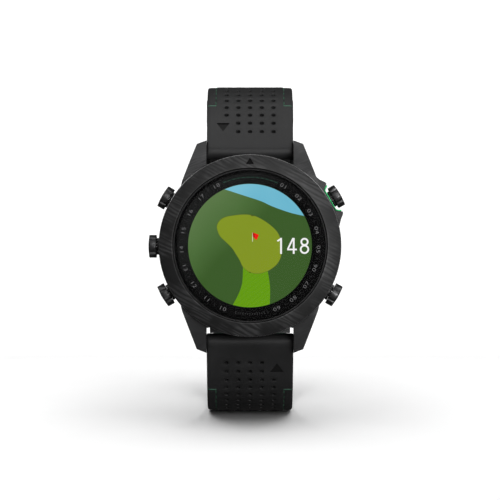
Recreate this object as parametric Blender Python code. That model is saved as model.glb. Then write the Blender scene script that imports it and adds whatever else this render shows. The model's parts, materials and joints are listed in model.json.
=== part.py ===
"""Golf GPS wristwatch with five push buttons and a two-piece quick-release strap, as separate solids.

The watch stands upright: +Z points to 12 o'clock, +X to 3 o'clock, and the dial faces -Y.
The origin is the centre of the sensor window on the back, the face that rests on the wrist.
Pieces are laid out in a dial frame, whose own Z is the height above the wrist, and one empty turns
that frame upright. Lengths below are in millimetres.
"""

import math
from collections import namedtuple

import bmesh
import bpy
from mathutils import Matrix, Vector

MM = 0.001
CLEAR = 0.05  # gap between pieces that touch
SEGMENTS = 40  # facets round the head's rings

# Driving dimensions of the head
CASE_R = 22.9  # outer radius of the case and bezel
CAVITY_R = 19.4  # inside radius of the case
CASE_BASE = 2.7  # height of the case's underside
CASE_TOP = 12.6  # height of the face that the bezel sits on
HEAD_TOP = 15.2  # height of the crystal's crown
SCREEN_R = 15.65  # radius of the lit display area
BEZEL_IN_R = 19.25
CRYSTAL_R = 19.0
BACK_COVER_R = 19.3
SCREW_CIRCLE_R = 15.9  # back cover screws
WINDOW_R = 8.2  # sensor window's rim

# Lugs and strap pivots
STRAP_W = 22.0
PIN_Y = 24.0  # lug pin's distance from the dial's centre
PIN_H = 3.2  # lug pin's height
PIN_R = 0.9
LUG_IN_X = STRAP_W / 2 + CLEAR
POCKET_Y = 20.3  # where the strap's pocket between the lugs starts
BRIDGE_X, BRIDGE_Y = 10.1, 21.6  # half width and outer face of the bridge that closes the pocket

# Buttons
BUTTON_H = 7.6  # height of every button's axis
BUTTON_SEGMENTS = 16
CAP_R = 2.85
CAP_IN_Q = 23.7  # inner rim's distance from the dial's axis
CAP_OUT_Q = 25.35
STEM_R = 0.8
GUARD_SHIFT = 0.7  # the guarded button stands further out
BUTTONS = {
    "light": (150.0, 0.0),
    "up": (180.0, 0.0),
    "down": (210.0, 0.0),
    "start": (30.0, GUARD_SHIFT),
    "back": (-30.0, 0.0),
}

# Strap
END_R = 2.1  # rounded strap end about the lug pin
START_SLOPE = 39.0  # degrees below the dial's plane where the strap leaves the lugs
EASE_FROM, EASE_TO = 1.8, 15.8  # stretch where the bend tightens
# Of each half: how fast the bend tightens (degrees per square millimetre), the even bend after that
# (degrees per millimetre), the path length of the loop's widest part, and the arcs after it (length, radius)
Curve = namedtuple("Curve", "ease bend widest arcs")
UPPER_CURVE = Curve(0.052, 2.6, 31.5, ((17.5, 40.0),))
LOWER_CURVE = Curve(0.0775, 2.1, 32.85, ((35.0, 45.0), (60.0, 90.0)))
UPPER_LEN = 71.0
LOWER_LEN = 108.0
STRAP_T = 3.1  # strap with its lining, past the lugs
LINING_T = 0.7
LINING_FROM = 9.0  # path length where the lining starts
TAIL_W = 20.0
BARE_END = 3.6  # unlined end that folds round the buckle pin

# Quick-release clip in the strap's lug end
CLIP_HALF, PLATE_HALF, LATCH_HALF = 9.5, 7.5, 5.1
PLATE_END = 7.3  # the clip's plate, measured along the strap from the lug pin
PLATE_TOP, PLATE_LOW, GROOVE = -0.3, -1.55, -1.0
LATCH_REACH = 4.2
HUB_R = 1.6  # the clip's hub, inside the strap's round end

# Buckle
BUCKLE_IN_W = 21.0
BUCKLE_OUT_W = 25.4
BUCKLE_PIN_R = 0.75
BUCKLE_END_R = 1.5  # strap end round the buckle pin
BUCKLE_REACH = 11.0  # from the pin to the far side of the frame's outer bar
BAR_W = 2.6
FRAME_T = 1.9
TONGUE_W = 2.0
TONGUE_SLOT_W = 3.2
KEEPER_LEN = 5.0
KEEPER_ROOM = 6.3  # inside height of a keeper: the strap and its tail
KEEPER_WALL = 1.1
FREE_KEEPER_S = 51.0
FIXED_KEEPER_S = 62.5

ADJUSTING_HOLES = 7
ADJUSTING_PITCH = 6.0

COLOURS = {
    "carbon": ((0.030, 0.031, 0.033), 0.42, 0.0),
    "black_metal": ((0.025, 0.025, 0.027), 0.30, 1.0),
    "black_rubber": ((0.022, 0.022, 0.023), 0.70, 0.0),
    "strap_lining": ((0.020, 0.045, 0.032), 0.85, 0.0),
    "sapphire": ((0.55, 0.60, 0.62), 0.05, 0.0),
    "dial_black": ((0.008, 0.008, 0.010), 0.35, 0.0),
    "screen": ((0.05, 0.14, 0.03), 0.25, 0.0),
    "green_anodised": ((0.03, 0.16, 0.06), 0.38, 1.0),
    "titanium": ((0.16, 0.16, 0.165), 0.35, 1.0),
    "steel": ((0.55, 0.55, 0.56), 0.25, 1.0),
    "gold_contact": ((0.80, 0.58, 0.22), 0.25, 1.0),
    "circuit_board": ((0.01, 0.10, 0.04), 0.50, 0.0),
    "battery_foil": ((0.35, 0.36, 0.38), 0.40, 1.0),
    "flex_film": ((0.45, 0.20, 0.03), 0.45, 0.0),
    "black_plastic": ((0.02, 0.02, 0.02), 0.55, 0.0),
    "window_glass": ((0.03, 0.03, 0.035), 0.08, 0.0),
}


# ---------------------------------------------------------------- helpers


def clear_scene():
    """Empties the open file of objects."""
    for thing in list(bpy.data.objects):
        bpy.data.objects.remove(thing, do_unlink=True)


def material(slot):
    """The Principled material of a colour slot, made once."""
    found = bpy.data.materials.get(slot)
    if found:
        return found
    colour, roughness, metallic = COLOURS[slot]
    made = bpy.data.materials.new(slot)
    made.use_nodes = True
    shader = made.node_tree.nodes["Principled BSDF"]
    shader.inputs["Base Color"].default_value = (*colour, 1.0)
    shader.inputs["Roughness"].default_value = roughness
    shader.inputs["Metallic"].default_value = metallic
    return made


def finish(bm, name, slot, parent):
    """Turns a bmesh in millimetres into a named object with its material, under a parent."""
    bmesh.ops.remove_doubles(bm, verts=bm.verts, dist=1e-4)
    bmesh.ops.recalc_face_normals(bm, faces=bm.faces)
    if bm.calc_volume(signed=True) < 0:
        bmesh.ops.reverse_faces(bm, faces=bm.faces)
    bmesh.ops.scale(bm, vec=(MM, MM, MM), verts=bm.verts)
    mesh = bpy.data.meshes.new(name)
    bm.to_mesh(mesh)
    bm.free()
    mesh.shade_smooth()
    mesh.set_sharp_from_angle(angle=math.radians(35))
    thing = bpy.data.objects.new(name, mesh)
    thing.data.materials.append(material(slot))
    bpy.context.scene.collection.objects.link(thing)
    thing.parent = parent
    return thing


def spun(bm, profile, segments, place=Matrix.Identity(4)):
    """Adds the solid that a closed (radius, height) profile sweeps round Z, then places it."""
    before = set(bm.verts)
    points = [bm.verts.new((r, 0.0, h)) for r, h in profile]
    edges = [bm.edges.new((a, b)) for a, b in zip(points, points[1:] + points[:1])]
    edges = [e for e in edges if e.verts[0].co.x > 1e-9 or e.verts[1].co.x > 1e-9]
    bmesh.ops.spin(
        bm,
        geom=points + edges,
        cent=(0, 0, 0),
        axis=(0, 0, 1),
        angle=2 * math.pi,
        steps=segments,
        use_merge=True,
    )
    loose = [e for e in bm.edges if not e.link_faces]
    bmesh.ops.delete(bm, geom=loose, context="EDGES")
    bmesh.ops.transform(bm, matrix=place, verts=[v for v in bm.verts if v not in before])


def prism(bm, outline, low, high, place=Matrix.Identity(4)):
    """Adds the solid between two heights over a flat outline, then places it."""
    base = bm.faces.new([bm.verts.new((x, y, low)) for x, y in outline])
    grown = bmesh.ops.extrude_face_region(bm, geom=[base])
    lifted = [g for g in grown["geom"] if isinstance(g, bmesh.types.BMVert)]
    bmesh.ops.translate(bm, vec=(0, 0, high - low), verts=lifted)
    bmesh.ops.transform(bm, matrix=place, verts=lifted + list(base.verts))


def lofted(bm, rings):
    """Adds a closed solid through rings of points that all have the same count."""
    loops = [[bm.verts.new(p) for p in ring] for ring in rings]
    count = len(loops[0])
    for near, far in zip(loops, loops[1:]):
        for i in range(count):
            j = (i + 1) % count
            bm.faces.new((near[i], near[j], far[j], far[i]))
    bm.faces.new(list(reversed(loops[0])))
    bm.faces.new(loops[-1])


def turned(name, profile, slot, parent, segments=SEGMENTS):
    bm = bmesh.new()
    spun(bm, profile, segments)
    return finish(bm, name, slot, parent)


def block(name, outline, low, high, slot, parent):
    bm = bmesh.new()
    prism(bm, outline, low, high)
    return finish(bm, name, slot, parent)


def circle(radius, count, centre=(0.0, 0.0), start=0.0):
    return [
        (
            centre[0] + radius * math.cos(start + 2 * math.pi * i / count),
            centre[1] + radius * math.sin(start + 2 * math.pi * i / count),
        )
        for i in range(count)
    ]


def rounded_box(half_x, half_y, corner, centre=(0.0, 0.0), steps=3):
    """Outline of a rectangle with round corners."""
    outline = []
    for turn in range(4):
        sx = 1 if turn in (0, 3) else -1
        sy = 1 if turn in (0, 1) else -1
        cx, cy = sx * (half_x - corner), sy * (half_y - corner)
        for i in range(steps + 1):
            angle = math.radians(90 * turn + 90 * i / steps)
            outline.append(
                (
                    centre[0] + cx + corner * math.cos(angle),
                    centre[1] + cy + corner * math.sin(angle),
                )
            )
    return outline


def apply_boolean(target, tool, operation):
    """Joins or cuts a target by a tool, which is then removed."""
    modifier = target.modifiers.new(operation.lower(), "BOOLEAN")
    modifier.operation = operation
    modifier.solver = "EXACT"
    modifier.object = tool
    bpy.context.view_layer.update()
    graph = bpy.context.evaluated_depsgraph_get()
    shaped = bpy.data.meshes.new_from_object(target.evaluated_get(graph))
    target.modifiers.remove(modifier)
    target.data = shaped
    bpy.data.objects.remove(tool, do_unlink=True)
    return target


def tidy(target):
    """Welds a Boolean's result and marks its hard edges."""
    bm = bmesh.new()
    bm.from_mesh(target.data)
    bmesh.ops.remove_doubles(bm, verts=bm.verts, dist=2e-6)
    bmesh.ops.dissolve_degenerate(bm, edges=bm.edges, dist=2e-6)
    bm.to_mesh(target.data)
    bm.free()
    target.data.shade_smooth()
    target.data.set_sharp_from_angle(angle=math.radians(35))


def radial(angle, height=BUTTON_H):
    """Placement whose Z runs outward from the dial's axis at an angle, at a given height."""
    turn = Matrix.Rotation(math.radians(angle), 4, "Z")
    lay = Matrix.Rotation(math.radians(90), 4, "Y")
    return Matrix.Translation((0, 0, height)) @ turn @ lay


def polar(radius, angle):
    return (radius * math.cos(math.radians(angle)), radius * math.sin(math.radians(angle)))


def arc_strip(inner, outer, start, end, steps):
    """Outline of a ring's sector."""
    angles = [start + (end - start) * i / steps for i in range(steps + 1)]
    outside = [polar(outer, a) for a in angles]
    return outside + [polar(inner, a) for a in reversed(angles)]


# ---------------------------------------------------------------- case


def case_body(dial):
    """Carbon shell: a turned barrel joined to four lugs and a button guard, then bored."""
    body = turned(
        "case_body",
        [
            (0, CASE_BASE - 0.4),
            (20.0, CASE_BASE - 0.4),
            (20.9, 3.2),
            (22.2, 5.4),
            (22.75, 8.0),
            (CASE_R, 10.5),
            (CASE_R, 12.2),
            (22.6, CASE_TOP),
            (0, CASE_TOP),
        ],
        "carbon",
        dial,
    )
    for side_x in (1, -1):
        for side_y in (1, -1):
            apply_boolean(body, lug(dial, side_x, side_y), "UNION")
    apply_boolean(body, button_guard(dial), "UNION")

    def cut(outline, low, high, place=Matrix.Identity(4)):
        tool = bmesh.new()
        prism(tool, outline, low, high, place)
        apply_boolean(body, finish(tool, "cutter", "carbon", dial), "DIFFERENCE")

    half_step = math.pi / SEGMENTS
    cut(circle(CAVITY_R, SEGMENTS, start=half_step), 4.1, 14.0)
    cut(circle(14.2, SEGMENTS), 0.0, 6.0)
    cut(circle(BACK_COVER_R + 0.2, SEGMENTS, start=half_step), -2.0, CASE_BASE)
    for angle, _ in BUTTONS.values():
        cut(circle(2.02, 16), CAVITY_R - 1.5, 27.0, radial(angle))
    for angle in (45, 135, 225, 315):
        cut(circle(0.62, 8, polar(SCREW_CIRCLE_R, angle)), 2.0, 5.0)
    cut(circle(0.5, 8), CAVITY_R - 1.0, 26.0, radial(-75.0, 9.6))
    for side_y in (1, -1):
        near, far = sorted((side_y * POCKET_Y, side_y * 31.0))
        edge = LUG_IN_X
        cut([(-edge, near), (edge, near), (edge, far), (-edge, far)], -2.0, 10.4)
        near, far = sorted((side_y * 19.7, side_y * BRIDGE_Y))
        edge = BRIDGE_X
        bridge = [(-edge, near), (edge, near), (edge, far), (-edge, far)]
        apply_boolean(body, block("bridge", bridge, 3.6, 9.6, "carbon", dial), "UNION")
        along_x = Matrix.Translation((0, side_y * PIN_Y, PIN_H)) @ Matrix.Rotation(
            math.radians(90), 4, "Y"
        )
        cut(circle(PIN_R + CLEAR, 12), -20.0, 20.0, along_x)
    tidy(body)


def lug(dial, side_x, side_y):
    """One lug: its outline seen from the front, trimmed by its outline seen from the side."""
    plan = [
        (10.4, 11.0),
        (10.4, 27.2),
        (11.0, 27.0),
        (13.75, 26.0),
        (17.35, 16.3),
        (17.8, 14.0),
        (16.7, 11.0),
    ]
    flank = [
        (11.0, 12.3),
        (17.6, 12.3),
        (21.7, 10.6),
        (24.9, 8.2),
        (26.7, 6.4),
        (27.3, 4.8),
        (27.0, 3.0),
        (25.7, 1.6),
        (23.3, 1.1),
        (18.0, 1.5),
        (11.0, 3.2),
    ]
    bm = bmesh.new()
    prism(bm, [(side_x * x, side_y * y) for x, y in plan], -1.0, 14.0)
    solid = finish(bm, "lug", "carbon", dial)
    trim = bmesh.new()
    upright = Matrix(((0, 0, 1, 0), (side_y, 0, 0, 0), (0, 1, 0, 0), (0, 0, 0, 1)))
    prism(trim, flank, -30.0, 30.0, upright)
    apply_boolean(solid, finish(trim, "flank", "carbon", dial), "INTERSECT")
    return solid


def offset_line(points, distance):
    """Open polyline moved sideways by a distance, with mitred corners."""
    normals = []
    for (ax, ay), (bx, by) in zip(points, points[1:]):
        length = math.hypot(bx - ax, by - ay)
        normals.append(((ay - by) / length, (bx - ax) / length))
    moved = []
    for i, (x, y) in enumerate(points):
        before, after = normals[max(i - 1, 0)], normals[min(i, len(normals) - 1)]
        share = 1 + before[0] * after[0] + before[1] * after[1]
        moved.append(
            (x + distance * (before[0] + after[0]) / share, y + distance * (before[1] + after[1]) / share)
        )
    return moved


# Seen from the front beside the guarded button: (sideways, outward) from the button's axis
RECESS_FACE = [(3.33, 24.5), (2.95, 23.75), (2.6, 23.42), (-2.9, 23.42), (-3.15, 23.75), (-3.6, 24.5)]
INLAY_T = 0.4
SHOULDER_ABOVE = [(6.0, 18.0), (7.75, 23.0), (6.72, 23.16), (5.71, 23.5), (4.59, 24.3), (4.0, 24.55)]
SHOULDER_BELOW = [(-4.2, 24.55), (-4.77, 24.3), (-5.65, 23.18), (-6.9, 22.0), (-5.0, 18.0)]


def beside_button(points):
    """Turns (sideways, outward) points at the guarded button into dial coordinates."""
    turn = math.radians(BUTTONS["start"][0])
    return [
        (q * math.cos(turn) - t * math.sin(turn), q * math.sin(turn) + t * math.cos(turn))
        for t, q in points
    ]


def button_guard(dial):
    """Shoulders above and below the guarded button, with a recess between them."""
    recess = offset_line(RECESS_FACE, INLAY_T + CLEAR)
    plan = beside_button(SHOULDER_ABOVE + recess + SHOULDER_BELOW)
    return block("guard", plan, 4.6, 11.2, "carbon", dial)


def guard_inlay(dial):
    """Green liner of the recess: a strip that follows its floor and turns up at both ends."""
    plan = beside_button(RECESS_FACE + offset_line(RECESS_FACE, INLAY_T)[::-1])
    inlay = block("guard_inlay", plan, 5.0, 10.8, "green_anodised", dial)
    hole = bmesh.new()
    prism(hole, circle(2.3, 20), 20.0, 27.0, radial(BUTTONS["start"][0]))
    apply_boolean(inlay, finish(hole, "inlay_hole", "carbon", dial), "DIFFERENCE")
    tidy(inlay)


def bezel(dial):
    """Bezel ring with an outer chamfer and a triangular mark sunk at 12 o'clock."""
    ring = turned(
        "bezel",
        [
            (BEZEL_IN_R, 12.85),
            (CASE_R - 0.1, 12.85),
            (CASE_R, 13.75),
            (22.6, 14.05),
            (19.6, 15.0),
            (BEZEL_IN_R, 14.8),
        ],
        "carbon",
        dial,
    )
    mark = bmesh.new()
    prism(mark, [(-1.05, 20.35), (1.05, 20.35), (0.0, 22.1)], 14.35, 16.0)
    apply_boolean(ring, finish(mark, "mark", "carbon", dial), "DIFFERENCE")
    tidy(ring)


def head_rings(dial):
    """Gaskets, crystal, printed number ring and display, from the top of the head down."""
    turned(
        "crystal",
        [
            (0, 13.8),
            (CRYSTAL_R, 13.8),
            (CRYSTAL_R, 14.55),
            (18.7, 14.85),
            (11.0, 15.12),
            (0, HEAD_TOP),
        ],
        "sapphire",
        dial,
    )
    inner, outer = CRYSTAL_R + 0.04, BEZEL_IN_R - 0.04
    turned(
        "crystal_gasket",
        [(inner, 13.8), (outer, 13.8), (outer, 14.5), (inner, 14.5)],
        "black_rubber",
        dial,
    )
    turned(
        "dial_ring",
        [(SCREEN_R + 0.05, 13.6), (18.9, 13.6), (18.9, 13.74), (SCREEN_R + 0.05, 13.74)],
        "dial_black",
        dial,
    )
    turned(
        "display_panel",
        [(0, 12.35), (17.4, 12.35), (17.4, 13.35), (SCREEN_R, 13.35), (SCREEN_R, 13.7), (0, 13.7)],
        "screen",
        dial,
    )
    turned(
        "display_frame",
        [
            (14.0, 11.9),
            (17.6, 11.9),
            (17.6, 10.1),
            (19.2, 10.1),
            (19.2, 13.5),
            (17.6, 13.5),
            (17.6, 12.3),
            (14.0, 12.3),
        ],
        "black_plastic",
        dial,
    )
    turned(
        "bezel_gasket",
        [(19.9, CASE_TOP + 0.04), (21.6, CASE_TOP + 0.04), (21.6, 12.8), (19.9, 12.8)],
        "black_rubber",
        dial,
    )


def electronics(dial):
    """Board, shields, battery, motor, antenna, switches and their flexible circuits."""
    board = block("main_board", rounded_box(15.6, 15.6, 12.5, steps=4), 9.0, 9.8, "circuit_board", dial)
    tidy(board)
    block("board_shield", rounded_box(8.6, 6.6, 0.8, (-0.8, 1.2), 2), 9.85, 11.3, "steel", dial)
    block("battery", rounded_box(10.4, 11.0, 2.0, (-2.1, 0.0), 2), 4.5, 8.7, "battery_foil", dial)
    block("vibration_motor", circle(3.4, 20, (12.0, 0.0)), 4.5, 7.3, "steel", dial)
    block("gps_antenna", arc_strip(16.5, 17.3, -60, 240, 20), 10.2, 11.6, "gold_contact", dial)

    circuit = bmesh.new()
    prism(circuit, arc_strip(16.3, 16.5, -42, 222, 24), 6.3, 8.9)
    for angle, _ in BUTTONS.values():
        prism(circuit, rounded_box(1.2, 1.6, 0.3, steps=1), 16.35, 17.3, radial(angle))
        prism(circuit, circle(0.55, 8), 17.1, 17.8, radial(angle))
    weld_bodies(finish(circuit, "side_key_circuit", "flex_film", dial))

    ribbon = bmesh.new()
    thickness = 0.15
    bend_r, bend_h = 1.0, 10.87
    outer = [(-12.6, bend_h + bend_r)]
    outer += [
        (-14.2 - bend_r * math.sin(math.radians(a)), bend_h + bend_r * math.cos(math.radians(a)))
        for a in range(0, 181, 30)
    ]
    outer += [(-12.6, bend_h - bend_r)]
    inner_r = bend_r - thickness
    inner = [(-12.6, bend_h + inner_r)]
    inner += [
        (-14.2 - inner_r * math.sin(math.radians(a)), bend_h + inner_r * math.cos(math.radians(a)))
        for a in range(0, 181, 30)
    ]
    inner += [(-12.6, bend_h - inner_r)]
    across = Matrix(((0, 0, 1, 0), (1, 0, 0, 0), (0, 1, 0, 0), (0, 0, 0, 1)))
    prism(ribbon, outer + inner[::-1], -4.0, 4.0, across)
    finish(ribbon, "display_flex", "flex_film", dial)


def weld_bodies(thing):
    """Unions the overlapping bodies of one object with a self Boolean against a far cutter."""
    far = bmesh.new()
    prism(far, circle(0.5, 8, (90.0, 0.0)), 0.0, 1.0)
    tool = finish(far, "far_tool", "steel", thing.parent)
    modifier = thing.modifiers.new("self", "BOOLEAN")
    modifier.operation = "DIFFERENCE"
    modifier.solver = "EXACT"
    modifier.use_self = True
    modifier.object = tool
    bpy.context.view_layer.update()
    graph = bpy.context.evaluated_depsgraph_get()
    shaped = bpy.data.meshes.new_from_object(thing.evaluated_get(graph))
    thing.modifiers.remove(modifier)
    thing.data = shaped
    bpy.data.objects.remove(tool, do_unlink=True)
    tidy(thing)


def back_side(dial):
    """Back cover with its gasket and screws, the optical sensor, and the charging contacts."""
    contact_y = -11.7
    cover = turned(
        "back_cover",
        [
            (WINDOW_R + 0.1, 0.6),
            (17.6, 0.6),
            (18.9, 1.1),
            (BACK_COVER_R, 1.9),
            (BACK_COVER_R, 2.65),
            (18.8, 2.65),
            (18.8, 2.1),
            (9.3, 2.1),
            (9.3, 1.0),
            (WINDOW_R + 0.1, 1.0),
        ],
        "titanium",
        dial,
    )

    def cut(outline, low, high):
        tool = bmesh.new()
        prism(tool, outline, low, high)
        apply_boolean(cover, finish(tool, "cutter", "titanium", dial), "DIFFERENCE")

    for angle in (45, 135, 225, 315):
        centre = polar(SCREW_CIRCLE_R, angle)
        cut(circle(0.75, 8, centre), 0.0, 3.0)
        cut(circle(1.3, 12, centre), 0.0, 1.35)
    cut(rounded_box(3.9, 1.5, 0.7, (0, contact_y), 1), 0.0, 3.0)
    tidy(cover)
    turned(
        "back_cover_gasket",
        [(17.55, 2.15), (18.72, 2.15), (18.72, 2.66), (17.55, 2.66)],
        "black_rubber",
        dial,
    )
    profile = [(0, 0.7), (1.2, 0.7), (1.2, 1.3), (0.55, 1.3), (0.55, 3.9), (0, 3.9)]
    screw = turned("back_cover_screw_1", profile, "steel", dial, 12)
    apply_boolean(screw, block("drive", circle(0.6, 6), 0.4, 1.05, "steel", dial), "DIFFERENCE")
    tidy(screw)
    for i in range(4):
        thing = screw if i == 0 else bpy.data.objects.new(f"back_cover_screw_{i + 1}", screw.data)
        if i:
            bpy.context.scene.collection.objects.link(thing)
            thing.parent = dial
        cx, cy = polar(SCREW_CIRCLE_R, 45 + 90 * i)
        thing.location = (cx * MM, cy * MM, 0)

    turned(
        "sensor_window",
        [(0, 0), (7.2, 0), (8.0, 0.3), (WINDOW_R, 1.05), (9.1, 1.05), (9.1, 1.6), (0, 1.6)],
        "window_glass",
        dial,
    )
    turned("optical_sensor", [(0, 1.75), (8.4, 1.75), (8.4, 2.45), (0, 2.45)], "circuit_board", dial, 24)
    contacts = bmesh.new()
    prism(contacts, rounded_box(3.8, 1.4, 0.65, (0, contact_y), 1), 0.95, 3.2)
    for i in range(4):
        prism(contacts, circle(0.45, 8, (-2.4 + 1.6 * i, contact_y)), 0.75, 3.6)
    weld_bodies(finish(contacts, "charging_contacts", "gold_contact", dial))


# ---------------------------------------------------------------- buttons


def buttons(dial):
    """Five push buttons: cap with stem, clip, spring and threaded bush."""
    for name, (angle, shift) in BUTTONS.items():
        out = radial(angle)
        cap = bmesh.new()
        profile = [
            (0, 18.4),
            (STEM_R, 18.4),
            (STEM_R, 18.72),
            (0.5, 18.72),
            (0.5, 19.08),
            (STEM_R, 19.08),
            (STEM_R, 24.7 + shift),
            (2.35, 24.7 + shift),
            (2.35, CAP_IN_Q + shift),
            (CAP_R, CAP_IN_Q + shift),
            (CAP_R, CAP_OUT_Q + shift),
            (2.65, CAP_OUT_Q + 0.15 + shift),
            (0, CAP_OUT_Q + 0.35 + shift),
        ]
        spun(cap, profile, BUTTON_SEGMENTS, out)
        finish(cap, f"{name}_button", "black_metal", dial)

        clip = bmesh.new()
        opening = 70
        plan = arc_strip(0.58, 1.35, opening / 2, 360 - opening / 2, 6)
        prism(clip, plan, 18.75, 19.05, out)
        finish(clip, f"{name}_button_clip", "steel", dial)

        spring(dial, f"{name}_button_spring", out, 21.1, 24.64 + shift)

        bush_profile = [
            (0.87, 19.12),
            (1.95, 19.12),
            (1.95, 22.95 + shift),
            (2.15, 22.95 + shift),
            (2.15, 23.45 + shift),
            (1.65, 23.45 + shift),
            (1.65, 21.0),
            (0.87, 21.0),
        ]
        bush = bmesh.new()
        spun(bush, bush_profile, BUTTON_SEGMENTS, out)
        finish(bush, f"{name}_button_bush", "black_metal", dial)


def spring(dial, name, place, low, high):
    """Compression spring: a round wire on a helix whose pitch closes up at both ends."""
    turns, per_turn, sides = 3.5, 8, 4
    coil_r, wire_r = 1.25, 0.15
    steps = int(turns * per_turn)
    span = high - low - 2 * wire_r
    rings = []
    for i in range(steps + 1):
        share = i / steps
        angle = 2 * math.pi * turns * share
        height = low + wire_r + span * share
        centre = Vector((coil_r * math.cos(angle), coil_r * math.sin(angle), height))
        outward = Vector((math.cos(angle), math.sin(angle), 0))
        ring = []
        for k in range(sides):
            round_wire = 2 * math.pi * k / sides
            offset = outward * math.cos(round_wire) + Vector((0, 0, 1)) * math.sin(round_wire)
            ring.append(place @ (centre + offset * wire_r))
        rings.append(ring)
    bm = bmesh.new()
    lofted(bm, rings)
    finish(bm, name, "steel", dial)


# ---------------------------------------------------------------- strap


def heading(s, curve):
    """Slope of the strap's outer face at path length s, in degrees below the dial's plane."""
    slope = START_SLOPE + curve.ease * (min(max(s, EASE_FROM), EASE_TO) - EASE_FROM) ** 2
    slope += curve.bend * max(0.0, min(s, curve.widest) - EASE_TO)
    left = max(0.0, s - curve.widest)
    for length, radius in curve.arcs:
        used = min(left, length)
        slope += math.degrees(used / radius)
        left -= used
    return slope


class Path:
    """The strap's outer face in the (distance from the dial's centre, height) plane."""

    STEP = 0.25

    def __init__(self, curve, length):
        first = math.radians(START_SLOPE)
        v = PIN_Y + END_R * math.sin(first)
        h = PIN_H + END_R * math.cos(first)
        self.curve = curve
        self.points = [(v, h)]
        count = int((length + 20.0) / self.STEP)
        for i in range(count):
            slope = math.radians(heading((i + 0.5) * self.STEP, curve))
            v += self.STEP * math.cos(slope)
            h -= self.STEP * math.sin(slope)
            self.points.append((v, h))

    def frame(self, s):
        """Point on the outer face, direction along the strap, and normal out of the loop."""
        slope = math.radians(heading(s, self.curve))
        along = Vector((0, math.cos(slope), -math.sin(slope)))
        out = Vector((0, math.sin(slope), math.cos(slope)))
        if s <= 0:
            v, h = self.points[0]
            point = Vector((0, v, h)) + along * s
        else:
            i = min(int(s / self.STEP), len(self.points) - 2)
            a, b = self.points[i], self.points[i + 1]
            share = s / self.STEP - i
            point = Vector((0, a[0] + (b[0] - a[0]) * share, a[1] + (b[1] - a[1]) * share))
        return point, along, out

    def place(self, s, side, depth=0.0):
        """Placement at path length s: X across, Y along, Z out of the loop, at a depth below the face."""
        point, along, out = self.frame(s)
        point = point - out * depth
        made = Matrix.Identity(4)
        for column, vector in enumerate((Vector((1, 0, 0)), along, out, point)):
            made[0][column] = vector.x
            made[1][column] = side * vector.y
            made[2][column] = vector.z
        return made


def strap_width(s):
    """The strap is even to the loop's widest part, then narrows to its tail."""
    taper_from, tail_from = 32.0, 62.0
    share = min(1.0, max(0.0, (s - taper_from) / (tail_from - taper_from)))
    return STRAP_W + (TAIL_W - STRAP_W) * share


def strap_depth(s):
    """Depth of the strap's inner face below its outer face: thick at the lugs, then even."""
    full = 2 * END_R
    if s <= 2.0:
        return full
    if s <= 14.0:
        blend = (s - 2.0) / 12.0
        blend = blend * blend * (3 - 2 * blend)
        return full + (STRAP_T - full) * blend
    return STRAP_T


def section(path, side, s, half_w, top, bottom, chamfer):
    """Eight-point section of a strap layer at path length s, in the dial frame."""
    point, _, out = path.frame(s)
    corner = min(chamfer, (bottom - top) / 3)
    shape = [
        (-half_w, top + corner),
        (-half_w + corner, top),
        (half_w - corner, top),
        (half_w, top + corner),
        (half_w, bottom - corner),
        (half_w - corner, bottom),
        (-half_w + corner, bottom),
        (-half_w, bottom - corner),
    ]
    ring = []
    for x, depth in shape:
        p = point - out * depth
        ring.append((x, side * p.y, p.z))
    return ring


def stations(start, end, step):
    count = max(1, round((end - start) / step))
    return [start + (end - start) * i / count for i in range(count + 1)]


def bend_stations(path, end):
    """Path lengths that follow the lined strap's bends: close where it curves, none where it is straight."""
    widest = path.curve.widest
    curved_to = widest + sum(length for length, _ in path.curve.arcs)
    marks = stations(LINING_FROM + 0.1, widest, 3.4)
    marks += stations(widest, curved_to, 5.4)[1:]
    return [mark for mark in marks if mark < end - 1.0] + [end]


def strap_sections(path, side, lined_to):
    """Sections of a strap's outer layer, from its round end at the lug pin to where its lining stops."""
    rings = []
    for angle in (75, 50, 25):
        back = END_R * math.sin(math.radians(angle))
        half = END_R * math.cos(math.radians(angle))
        rings.append(section(path, side, -back, STRAP_W / 2 - CLEAR, END_R - half, END_R + half, 0.4))
    for s in stations(0.0, LINING_FROM - 0.3, 2.9):
        rings.append(section(path, side, s, strap_width(s) / 2 - CLEAR, 0.0, strap_depth(s), 0.4))
    for s in bend_stations(path, lined_to):
        bottom = strap_depth(s) - LINING_T - CLEAR
        rings.append(section(path, side, s, strap_width(s) / 2 - CLEAR, 0.0, bottom, 0.4))
    return rings


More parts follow.
